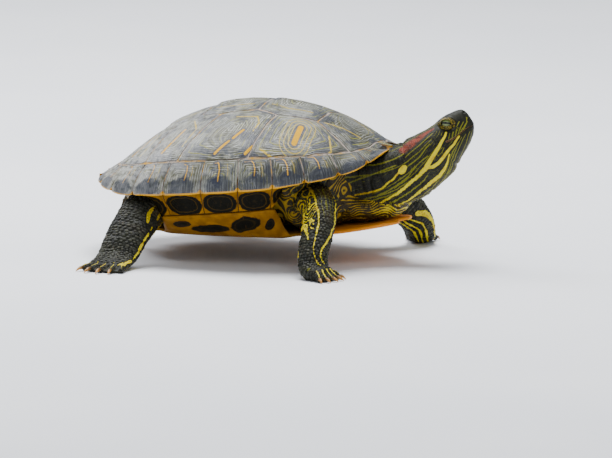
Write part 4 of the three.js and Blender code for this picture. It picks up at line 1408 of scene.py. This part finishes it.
# each part's scales: first and last row in millimetres along, row spacing, spacing round, height
scaleRows = {
    "neck": (24, 112, 1.25, 1.3, 0.15),
    "head": (19, 40, 0.95, 1.0, 0.035),
    "front": (22, 100, 1.75, 2.5, 0.4),
    "hind": (22, 100, 1.8, 2.9, 0.44),
    "tail": (8, 70, 1.5, 1.5, 0.18),
    "toe": (5, 14, 1.3, 1.7, 0.16),
}
# how strongly single scales show, where it isn't fully
scaleContrast = {"head": 0.3, "neck": 0.6}
# rings: share of the outline, height and shading; stray: off the row; patch: width on the map
scaleForm = {"corners": 8, "rings": ((1.0, -0.25, 0.0), (0.86, 0.62, 0.55), (0.5, 1.0, 1.0)),
             "top": 1.06, "root": 0.3, "stray": 0.16, "patch": 0.003}


def coverWithScales(name, parts, skinPoints, skinNormals, tree):
    stray = scaleForm["stray"]
    columns = ("centre", "normal", "way", "size", "part", "height", "row", "contrast", "u", "v")
    rows = {key: [] for key in columns}
    for partName in parts:
        k = next(i for i, p in enumerate(skinParts) if p["name"] == partName.replace("head", "neck"))
        frame = skinParts[k]["frame"]
        kind = next(word for word in ("toe", "head", "neck", "front", "hind", "tail") if word in partName)
        first, last, step, spacing, height = scaleRows[kind]
        lengths = frame["length"]
        isNeck = skinParts[k]["name"] == "neck"
        spots = np.arange(first, min(last, lengths[-1] - 0.5), step)
        for j, spot in enumerate(spots):
            at = lengths[-1] - spot if isNeck else spot
            row = int(np.argmin(np.abs(lengths - at)))
            ring = skinParts[k]["grid"][row]
            perimeter = np.linalg.norm(ring - np.roll(ring, 1, 0), axis=1).sum()
            wanted = spacing * (0.85 if kind in ("front", "hind") and at > 70 else 1)
            count = max(5, int(perimeter / wanted))
            turns = (np.arange(count) + 0.5 * (j % 2) + rng.uniform(-stray, stray, count)) / count * 2 * np.pi
            marks = np.arange(len(ring) + 1)
            side = np.interp(np.mod(turns, 2 * np.pi), marks / len(ring) * 2 * np.pi, marks)
            lower = side.astype(int) % len(ring)
            share = (side - np.floor(side))[:, None]
            centre = ring[lower] * (1 - share) + ring[(lower + 1) % len(ring)] * share
            centre = centre + frame["tangent"][row] * rng.uniform(-stray, stray, (count, 1)) * step
            tangent = frame["tangent"][row] * (-1 if isNeck else 1)
            for c in centre:
                place, index, gap = tree.find(c)
                if gap > 1.9 or place[2] < 0.25:
                    continue
                rows["centre"].append(skinPoints[index])
                rows["normal"].append(skinNormals[index])
                rows["way"].append(-tangent if isNeck else tangent)
                rows["size"].append((step * 1.12, perimeter / count * 1.02))
                way = c - frame["centre"][row]
                rows["row"].append(row)
                # where the scale stands on the unrolled skin: the limb below, its toes in a strip above
                turned = math.atan2(way @ frame["up"][row], way @ frame["across"][row]) / (2 * math.pi) % 1
                far = (spot - first) / (last - first)
                if kind == "toe":
                    rows["u"].append((int(partName[-1]) - 1 + 0.05 + 0.9 * turned) / 5)
                    rows["v"].append(0.81 + 0.17 * far)
                else:
                    rows["u"].append(0.01 + 0.98 * turned)
                    rows["v"].append(0.02 + 0.75 * far)
                rows["contrast"].append(scaleContrast.get(kind, 1))
                rows["part"].append(k)
                rows["height"].append(height)
    for key in rows:
        rows[key] = np.array(rows[key], float)
    n, count = rows["normal"], len(rows["part"])
    t = unit(rows["way"] - n * np.sum(rows["way"] * n, 1)[:, None])
    b = np.cross(n, t)
    corners = scaleForm["corners"]
    turn = (np.arange(corners) + 0.5) / corners * 2 * np.pi
    irregular = 1 + rng.uniform(-0.1, 0.1, (count, corners))
    grow = rng.uniform(0.84, 1.08, (count, 1)) * irregular
    u = np.cos(turn)[None] * rows["size"][:, :1] * 0.56 * grow
    v = np.sin(turn)[None] * rows["size"][:, 1:] * 0.54 * grow
    rings = []
    h = rows["height"][:, None]
    for shrink, rise, _ in scaleForm["rings"]:
        uu, vv = u * shrink, v * shrink
        z = h * rise + h * 0.28 * uu / rows["size"][:, :1] - (uu ** 2 * 0.02 + vv ** 2 * 0.06)
        flat = t[:, None] * uu[..., None] + b[:, None] * vv[..., None]
        rings.append(rows["centre"][:, None] + flat + n[:, None] * z[..., None])
    top = rows["centre"] + n * (h * scaleForm["top"])
    root = rows["centre"] - n * scaleForm["root"]
    points = np.concatenate([*rings, top[:, None], root[:, None]], 1)
    each = points.shape[1]
    ring = np.arange(corners)
    ahead = (ring + 1) % corners
    band = np.column_stack([ring, ahead, ahead + corners, ring + corners])
    quads = np.vstack([band, band + corners])
    tris = np.vstack([np.column_stack([ring + 2 * corners, ahead + 2 * corners, np.full(corners, each - 2)]),
                      np.column_stack([ahead, ring, np.full(corners, each - 1)])])
    first = (np.arange(count) * each)[:, None, None]
    points = points.reshape(-1, 3)
    points[:, 2] = np.maximum(points[:, 2], 0.05)
    piece = makeObject(name, points, (quads[None] + first).reshape(-1, 4),
                       (tris[None] + first).reshape(-1, 3))
    part = np.repeat(rows["part"].astype(int), each)
    row = np.repeat(rows["row"].astype(int), each)
    along, angle = placesOnLofts(points, part, row)
    values = markPlaces(part, along, angle, points)
    contrast = np.repeat(rows["contrast"], each)
    tone = np.repeat(rng.uniform(-1, 1, count), each) * contrast - (1 - contrast)
    shading = np.concatenate([np.full(corners, shade) for _, _, shade in scaleForm["rings"]] + [[1, 0]])
    shape = 1 - contrast * (1 - np.tile(shading, count))
    paint(piece, scale=shape, tone=tone, lid=np.zeros(len(points)), mouth=np.full(len(points), 9.0), **values)
    shrinks = [shrink for shrink, _, _ in scaleForm["rings"]]
    uv = []
    for key, wave in (("u", np.cos(turn)), ("v", np.sin(turn))):
        around = np.concatenate([wave * shrink for shrink in shrinks] + [[0, 0]])
        uv.append(rows[key][:, None] + around * scaleForm["patch"] / 2)
    uv = np.stack(uv, -1).reshape(-1, 2)
    layer = piece.data.uv_layers.new(name="OFBake")
    loops = np.zeros(len(piece.data.loops), np.int32)
    piece.data.loops.foreach_get("vertex_index", loops)
    layer.data.foreach_set("uv", uv[loops].astype(np.float32).reshape(-1))
    return piece


# finishes
def tint(r, g, b):
    # a colour as mixed on a screen, 0 to 255, made linear
    linear = [(c / 255 / 12.92) if c / 255 <= 0.04045 else ((c / 255 + 0.055) / 1.055) ** 2.4
              for c in (r, g, b)]
    return (*linear, 1)


class Wire:
    # a value inside a material; arithmetic on it adds a maths node
    def __init__(self, owner, socket):
        self.owner, self.socket = owner, socket

    def __add__(self, other):
        return self.owner.math("ADD", self, other)

    def __sub__(self, other):
        return self.owner.math("SUBTRACT", self, other)

    def __mul__(self, other):
        return self.owner.math("MULTIPLY", self, other)

    def __abs__(self):
        return self.owner.math("ABSOLUTE", self)


class Finish:
    # a procedural material with short words for its nodes
    def __init__(self, name):
        self.material = bpy.data.materials.new(name)
        self.material.use_nodes = True
        self.tree = self.material.node_tree
        self.shader = next(n for n in self.tree.nodes if n.type == "BSDF_PRINCIPLED")
        place = Wire(self, self.tree.nodes.new("ShaderNodeTexCoord").outputs["Object"])
        self.place = self.vector("SCALE", place, Scale=1000)          # millimetres

    def put(self, socket, value):
        if isinstance(value, Wire):
            self.tree.links.new(value.socket, socket)
        else:
            socket.default_value = value

    def add(self, kind, output, **inputs):
        node = self.tree.nodes.new("ShaderNode" + kind)
        for key, value in inputs.items():
            self.put(node.inputs[key.replace("_", " ")], value)
        return node, Wire(self, node.outputs[output])

    def vector(self, kind, place, by=None, **inputs):
        node, out = self.add("VectorMath", 0)
        node.operation = kind
        for key, value in {0: place, 1: by, **inputs}.items():
            if value is not None:
                self.put(node.inputs[key], value)
        return out

    def read(self, name):
        node, out = self.add("Attribute", "Fac")
        node.attribute_name = name
        return out

    def math(self, kind, a, b=0.0):
        node, out = self.add("Math", 0)
        node.operation = kind
        for socket, value in zip(node.inputs, (a, b, 0.0)):
            self.put(socket, value)
        return out

    def step(self, value, low, high, out0=0.0, out1=1.0):
        node, out = self.add("MapRange", 0, Value=value, From_Min=low, From_Max=high, To_Min=out0,
                             To_Max=out1)
        node.interpolation_type = "SMOOTHSTEP"
        return out

    def noise(self, size, detail=3.0, rough=0.55, stretch=None, warp=0.0):
        place = self.vector("MULTIPLY", self.place, stretch) if stretch else self.place
        return self.add("TexNoise", "Fac", Vector=place, Scale=1 / size, Detail=detail, Roughness=rough,
                        Distortion=warp)[1]

    def along(self, axis):
        return self.add("SeparateXYZ", axis, Vector=self.place)[1]

    def cells(self, size):
        return self.add("TexVoronoi", "Distance", Vector=self.place, Scale=1 / size)[1]

    def blend(self, share, a, b):
        node = self.tree.nodes.new("ShaderNodeMix")
        node.data_type = "RGBA"
        for key, value in ((0, share), (6, a), (7, b)):      # factor and the two colours
            self.put(node.inputs[key], value)
        return Wire(self, node.outputs[2])

    def bump(self, height, strength=0.5, depth=0.1, below=None):
        more = {"Normal": below} if below else {}
        return self.add("Bump", "Normal", Strength=strength, Distance=depth / 1000, Height=height, **more)[1]

    def finish(self, colour, rough, normal, gloss=0.5, **sockets):
        named = {"Base_Color": colour, "Roughness": rough, "Normal": normal, "Specular_IOR_Level": gloss,
                 **sockets}
        for key, value in named.items():
            self.put(self.shader.inputs[key.replace("_", " ")], value)
        return self.material


plateColours = {
    "olive": tint(84, 82, 56), "grey": tint(120, 121, 112), "slate": tint(42, 47, 62),
    "dark": tint(28, 29, 23),
    "bar": tint(214, 160, 0), "line": tint(186, 156, 12), "fine": tint(144, 142, 36),
    "seam": tint(166, 154, 146),
    # belly: the lower shell's deep yellow, darkened to its look in shade, so partly painted shade
    "rim": tint(206, 148, 0), "belly": tint(134, 90, 0), "blotch": tint(9, 8, 3), "inner": tint(70, 50, 2),
}


def plateFinish():
    c, f = plateColours, Finish("plate horn")
    ring, edge, bar, line = (f.read(k) for k in ("ring", "edge", "bar", "line"))
    broad, mid = f.noise(17, 3, 0.6), f.noise(5, 4, 0.65)
    base = f.blend(f.step(broad, 0.42, 0.62), c["olive"], c["grey"])
    streak = f.noise(2.2, 3, 0.6)
    waves = f.math("SINE", ring * 96 + mid * 5)
    base = f.blend(f.step(waves, -0.2, 0.9) * f.step(f.noise(7, 3), 0.3, 0.7, 0.25, 0.62), base, c["dark"])
    stripes = f.math("SINE", ring * 41 + broad * 7)
    base = f.blend(f.step(stripes, 0.1, 0.95) * 0.3, base, tint(172, 174, 166))
    # fine straight creases along the plate's edges, with painted shade in the dips and painted glints of
    # light on the crests
    creases = f.math("SINE", edge * 5.4 + mid * 6)
    base = f.blend(f.step(creases, 0.2, 0.9) * f.step(f.noise(6, 3), 0.35, 0.62, 0.1, 0.6), base, c["dark"])
    # painted glints: light streaks along the crests
    crestGlints = f.math("SINE", edge * 3.7 + mid * 9)
    base = f.blend(f.step(crestGlints, 0.5, 0.98) * f.step(f.noise(8, 3), 0.42, 0.64, 0.05, 0.7), base,
                   tint(196, 197, 190))
    # slate blotches, strongest toward the plate's edge
    patchy = f.step(f.noise(9, 3, 0.6) + f.step(ring, 0.25, 0.85) * 0.12, 0.54, 0.68)
    base = f.blend(patchy * 0.75, base, c["slate"])
    # the front of the shell is darker: less real bleaching and less painted glare than at the rear
    base = f.blend(f.step(f.along(0), 14, 44, 0.0, 0.34), base, c["dark"])
    # thin rings of yellow green
    rings = abs(f.math("FRACT", ring * 5.2 + mid * 0.22) - 0.5)
    fine = f.step(rings, 0.075, 0.03) * f.step(f.noise(11, 2), f.read("plain"), f.read("plain") + 0.16)
    base = f.blend(fine * 0.75, base, c["fine"])
    near = abs(f.math("FRACT", bar * 0.36 + (mid * 0.2 + 0.62)) - 0.5)
    near = f.step(near, 0.13, 0.06) * (f.step(bar, 8.8, 7.5) * f.step(f.read("plain"), 0.4, 0.2))
    base = f.blend(near * 0.85, base, c["line"])
    around = f.step(bar, 1.9, 0.7)
    base = f.blend(around * 0.8, base, c["slate"])
    base = f.blend(f.step(line, 0.22, -0.05) * f.step(streak, 0.3, 0.5), base, c["line"])
    base = f.blend(f.step(bar, 0.2, -0.12) * f.step(f.noise(3.1, 2), 0.25, 0.38), base, c["bar"])
    # the rear of the shell is lighter: partly real bleaching of the dry plates, partly painted glare; the
    # flecks and borders are wear
    rear = f.step(f.along(0), -5, -85, 0.0, 0.5)
    base = f.blend(rear * f.step(f.noise(4, 4, 0.65), 0.32, 0.62), base, tint(186, 185, 180))
    flecks = f.step(f.noise(1.1, 5, 0.7), 0.6, 0.72)
    base = f.blend(flecks * 0.35, base, tint(178, 180, 172))
    border = f.step(edge, 0.6, 0.05) * f.step(f.noise(9, 2), 0.36, 0.55)
    warm = f.blend(f.step(f.noise(16, 2), 0.54, 0.64), c["seam"], tint(190, 140, 20))
    base = f.blend(border * 0.7, base, warm)
    height = waves * 0.3 + f.noise(0.8, 4, 0.6) * 0.8
    height = height + creases * -0.4
    normal = f.bump(height, 0.7, 0.16, f.bump(f.noise(3, 4, 0.6), 0.45, 0.35))
    rough = f.step(f.noise(4, 4), 0.3, 0.7, 0.3, 0.5)
    return f, base, rough, normal


def rimFinish():
    c = plateColours
    f, base, rough, normal = plateFinish()
    f.material.name = "marginal horn"
    under, spot, patch = (f.read(k) for k in ("under", "spot", "patch"))
    base = f.blend(f.step(patch + f.noise(4, 3) * 0.6, 1.3, 1.0) * 0.7, base, c["slate"])
    line = f.step(f.read("bar") + f.noise(1.5, 2) * 0.1, 0.3, -0.05)
    line = line * f.step(f.noise(5, 3), 0.4, 0.52, 0.25, 1.0)
    base = f.blend(line, base, c["bar"])
    pointed = under + f.step(f.read("edge"), 2.4, 0.0, 0.0, 2.0)
    edgeLine = f.step(pointed, -1.0, -0.6) * f.step(f.noise(7, 3), 0.3, 0.5, 0.6, 1.0)
    base = f.blend(edgeLine, base, c["rim"])
    # below the rim: deep yellow, darkened as painted shade, with one dark blotch, ringed inside by a thin
    # yellow line
    below = f.blend(f.step(f.noise(6, 3), 0.35, 0.7), c["belly"], tint(100, 66, 0))
    wobbled = spot + (f.noise(5, 2) - 0.5) * 0.34
    below = f.blend(f.step(wobbled, 1.1, 1.02), below, c["blotch"])
    ringIn = f.step(wobbled, 0.84, 0.8) * f.step(wobbled, 0.72, 0.76)
    below = f.blend(ringIn * 0.5, below, c["inner"])
    below = f.blend(f.step(f.noise(2.5, 3), 0.5, 0.72) * f.step(wobbled, 0.8, 0.5, 0, 0.3), below,
                    tint(48, 38, 12))
    base = f.blend(f.step(under, 0.1, 0.7), base, below)
    base = f.blend(f.step(f.read("edge"), 0.5, 0.1) * f.step(under, 0.5, 1.2), base, tint(90, 60, 14))
    return f.finish(base, rough, normal, f.step(under, -0.5, 0.5, 0.3, 0.06))


def topFinish():
    f, base, rough, normal = plateFinish()
    return f.finish(base, rough, normal, f.step(f.read("bar"), 0.3, -0.1, 0.3, 0.05))


def liningFinish():
    f = Finish("seam lining")
    base = f.blend(f.step(f.noise(12, 3), 0.45, 0.62), tint(160, 148, 138), tint(184, 136, 16))
    base = f.blend(f.step(f.noise(2.2, 4, 0.7), 0.5, 0.68), base, tint(92, 84, 72))
    base = f.blend(f.read("low"), base, tint(66, 44, 8))
    return f.finish(base, 0.6, f.bump(f.noise(0.9, 4), 0.6, 0.2), 0.15)


def bellyFinish():
    c, f = plateColours, Finish("belly horn")
    gap, spot, front = (f.read(k) for k in ("gap", "spot", "front"))
    # the lower shell's yellow is darkened here too: painted shade
    base = f.blend(f.step(f.noise(9, 3), 0.35, 0.66), c["belly"], tint(108, 70, 0))
    # lighter orange towards the plastron's front: painted light reflected up from below
    base = f.blend(front * 0.85, base, tint(232, 142, 36))
    base = f.blend(f.step(f.noise(2.4, 5, 0.7), 0.52, 0.75) * 0.3, base, tint(104, 64, 6))
    wobbled = spot + (f.noise(6, 2) - 0.5) * 0.5
    base = f.blend(f.step(wobbled, 1.05, 0.93), base, c["blotch"])
    ringIn = f.step(wobbled, 0.74, 0.68) * f.step(wobbled, 0.56, 0.62)
    base = f.blend(ringIn * 0.22, base, c["inner"])
    base = f.blend(f.step(gap, 0.55, 0.15) * 0.85, base, tint(60, 38, 12))
    waves = f.math("SINE", gap * 5.5 + f.noise(7, 3) * 9)
    normal = f.bump(waves * 0.3 + f.noise(1.2, 4, 0.6), 0.4, 0.12)
    return f.finish(base, f.step(f.noise(5, 4), 0.3, 0.7, 0.4, 0.55), normal, 0.1)


skinColours = {
    "dark": tint(17, 18, 12), "olive": tint(34, 35, 22), "grey": tint(62, 61, 47),
    "yellow": tint(216, 198, 10),
    "gold": tint(186, 140, 0), "fine": tint(124, 122, 18), "red": tint(128, 42, 8),
    "deepRed": tint(72, 26, 8),
    "lip": tint(150, 116, 80), "lid": tint(52, 48, 14),
}


def skinFinish(name, isScale):
    c, f = skinColours, Finish(name)
    stripe, thin, red, pale, lid, mouth, shade = (
        f.read(k) for k in ("stripe", "thin", "red", "pale", "lid", "mouth", "shade"))
    base = f.blend(f.step(f.noise(7, 4, 0.6), 0.38, 0.66), c["dark"], c["olive"])
    base = f.blend(pale * 0.7, base, c["gold"])
    grain = f.cells(0.55)
    if isScale:
        shape, tone = f.read("scale"), f.read("tone")
        # a lighter crown on each scale, varied by its tone: partly its own tone, partly a painted highlight
        crown = f.step(shape, 0.3, 1.0) * f.step(tone, -1.0, 1.0, 0.08, 0.7)
        base = f.blend(crown, base, c["grey"])
        # painted shade in the gaps at each scale's foot
        base = f.blend(f.step(shape, 0.6, 0.0), base, tint(10, 11, 8))
    ragged = (f.noise(0.9, 3) - 0.5) * 0.35
    base = f.blend(f.step(thin + ragged, 0.12, -0.06) * 0.85, base, c["fine"])
    bold = stripe + ragged
    edge = f.step(bold, 1.0, 0.35)
    base = f.blend(edge * 0.5, base, tint(14, 16, 10))
    # yellow turns gold in patches and, as painted shade, under the shell
    gold = f.blend(f.math("MAXIMUM", f.step(f.noise(5, 3), 0.5, 0.75), shade * 0.8), c["yellow"], c["gold"])
    base = f.blend(f.step(bold, 0.14, -0.1), base, gold)
    # painted shade of the shell on the skin beneath it
    base = f.blend(shade * 0.46, base, tint(14, 11, 3))
    earPatch = f.blend(f.step(f.noise(3, 3), 0.4, 0.7), c["red"], c["deepRed"])
    base = f.blend(f.step(red + ragged, 1.0, -1.1), base, earPatch)
    base = f.blend(lid * 0.75, base, f.blend(f.step(f.noise(1.1, 3), 0.45, 0.62), c["lid"],
                                             tint(150, 128, 30)))
    base = f.blend(f.step(mouth, 0.75, 0.25), base, c["lip"])
    # painted shade in the slit of the closed mouth
    base = f.blend(f.step(mouth, 0.3, 0.1), base, tint(40, 26, 18))
    height = grain * -0.8 + f.noise(0.5, 3) * 0.6
    wrinkle = f.bump(f.noise(1.8, 4, 0.65, (1, 1, 1.6), 0.6), 0.5, 0.35)
    normal = f.bump(height, 0.45, 0.14, wrinkle)
    rough = f.step(f.noise(2.5, 3), 0.3, 0.7, 0.42, 0.62)
    return f.finish(base, rough, normal, 0.2, Subsurface_Weight=0.02, Subsurface_Scale=0.0008)


def eyeFinish():
    f = Finish("eye")
    gap, across = f.read("fromPupil"), f.read("acrossEye")
    iris = f.blend(f.step(f.noise(0.35, 3), 0.4, 0.65), tint(118, 132, 66), tint(70, 84, 40))
    base = f.blend(f.step(gap, 2.7, 2.95), iris, tint(34, 36, 22))
    bar = f.step(abs(across + 0.12), 0.66, 0.5) * f.step(gap, 2.9, 2.7)
    base = f.blend(bar, base, tint(14, 14, 10))
    base = f.blend(f.step(gap, 0.8, 0.68), base, (0.003, 0.003, 0.003, 1))
    return f.finish(base, 0.15, f.bump(f.noise(0.6, 2), 0.05, 0.05), 0.4, Coat_Weight=0.7,
                    Coat_Roughness=0.04)


def clawFinish():
    f = Finish("claw horn")
    tip = f.read("tip")
    base = f.blend(f.step(tip, 0.1, 0.8), tint(58, 46, 26), tint(186, 132, 58))
    base = f.blend(f.step(f.noise(0.7, 4, 0.6), 0.45, 0.7) * 0.5, base, tint(96, 70, 36))
    return f.finish(base, f.step(f.noise(1, 3), 0.3, 0.7, 0.28, 0.45), f.bump(f.noise(0.4, 3), 0.4, 0.08),
                    0.35)


def floorFinish():
    f = Finish("pale floor")
    base = f.blend(f.step(f.noise(300, 2), 0.3, 0.7), tint(232, 234, 238), tint(238, 239, 242))
    return f.finish(base, 0.8, f.bump(f.noise(3, 2), 0.03, 0.1), 0.2)


def dress(piece, finish, slotName, *nodes):
    piece.data.materials.clear()
    piece.data.materials.append(finish)
    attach(piece, "root")
    if nodes:
        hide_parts(*nodes)


# build everything
print("shell plates")
topMaterial, rimMaterial = topFinish(), rimFinish()
for node, piece in buildShell().items():
    dress(piece, rimMaterial if node.startswith("marginal") else topMaterial, "scute", node)
dress(buildSeamLining(), liningFinish(), "scute")

print("belly plate and bridges")
dress(buildBelly(), bellyFinish(), "plastron", "plastron", "bridge_left", "bridge_right")

print("one skin")
turtleSkin = buildSkin()
partOf, along, angle = skinPlaces(pointsOf(turtleSkin))
lidShare, mouthGap = foldSkin(turtleSkin, partOf, along, angle)
skinPoints, skinNormals = pointsOf(turtleSkin), normalsOf(turtleSkin)
paint(turtleSkin, lid=lidShare, mouth=mouthGap, **markPlaces(partOf, along, angle, skinPoints))
flesh = ["trunk", "neck", "head", "lower_jaw", "tail"]
flesh += [name.replace("_", f"_{part}_") for name in limbStations for part in ("leg", "foot")]
dress(turtleSkin, skinFinish("turtle skin", False), "skin", *flesh)

print("eyes and claws")
eyeMaterial, clawMaterial = eyeFinish(), clawFinish()
for piece, node in zip(buildEyes(), ("eye_left", "eye_right")):
    dress(piece, eyeMaterial, "eye", node)
for name in limbStations:
    dress(buildClaws(name), clawMaterial, "foot_skin")

print("scales")
skinTree = treeOf(skinPoints)
scaleMaterial = skinFinish("turtle scales", True)
coats = {"neck_scales": ["neck"], "head_scales": ["head"], "tail_scales": ["tail"]}
for name in limbStations:
    coats[name + "_scales"] = [name] + [f"{name}_toe_{i}" for i in range(1, 6)]
for name, parts in coats.items():
    slotName = "head_skin" if name == "head_scales" else "skin"
    coat = coverWithScales(name, parts, skinPoints, skinNormals, skinTree)
    dress(coat, scaleMaterial, slotName)
meshes = [piece.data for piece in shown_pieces() if piece.type == "MESH"]
print("triangles", sum(len(face.vertices) - 2 for mesh in meshes for face in mesh.polygons))

print("stage")
stage = {"floor": 6.0, "distance": 6.0, "turn": 22, "rise": 9, "frameWidth": 612 / 1.55 / 1000, "sensor": 36,
         "aim": (38.1, 0, 18.1), "sky": ((0.80, 0.84, 0.90, 1), 0.6)}
# each light: place, width, power, colour
lights = {
    "overhead": ((-0.1, 0.25, 1.7), 1.0, 56, (0.97, 0.98, 1.0)),
    "key": ((0.9, -1.0, 1.3), 0.5, 3, (1.0, 0.98, 0.94)),
    "behind": ((-1.2, 0.35, 1.1), 0.9, 22, (0.95, 0.97, 1.0)),
}
floorMesh = bpy.data.meshes.new("floor")
s = stage["floor"]
floorMesh.from_pydata([(-s, -s, 0), (s, -s, 0), (s, s, 0), (-s, s, 0)], [], [(0, 1, 2, 3)])
floor = addObject("floor", floorMesh)
floorMesh.materials.append(floorFinish())

turn, rise = math.radians(stage["turn"]), math.radians(stage["rise"])
aim = Vector((np.array(stage["aim"]) + shellMiddle) / 1000)
towards = Vector((math.sin(turn) * math.cos(rise), -math.cos(turn) * math.cos(rise), math.sin(rise)))
cameraData = bpy.data.cameras.new("view")
cameraData.sensor_width = stage["sensor"]
cameraData.lens = stage["sensor"] * stage["distance"] / stage["frameWidth"]
cameraData.clip_end = 50
camera = addObject("view", cameraData)
camera.location = aim + towards * stage["distance"]
camera.rotation_euler = (-towards).to_track_quat("-Z", "Y").to_euler()
bpy.context.scene.camera = camera

world = bpy.data.worlds.new("soft room")
bpy.context.scene.world = world
world.use_nodes = True
sky = world.node_tree.nodes["Background"]
sky.inputs["Color"].default_value, sky.inputs["Strength"].default_value = stage["sky"]

for name, (place, size, power, colour) in lights.items():
    data = bpy.data.lights.new(name, "AREA")
    data.shape, data.size, data.energy, data.color = "DISK", size, power, colour
    lamp = addObject(name, data)
    lamp.location = place
    lamp.rotation_euler = (aim - Vector(place)).to_track_quat("-Z", "Y").to_euler()
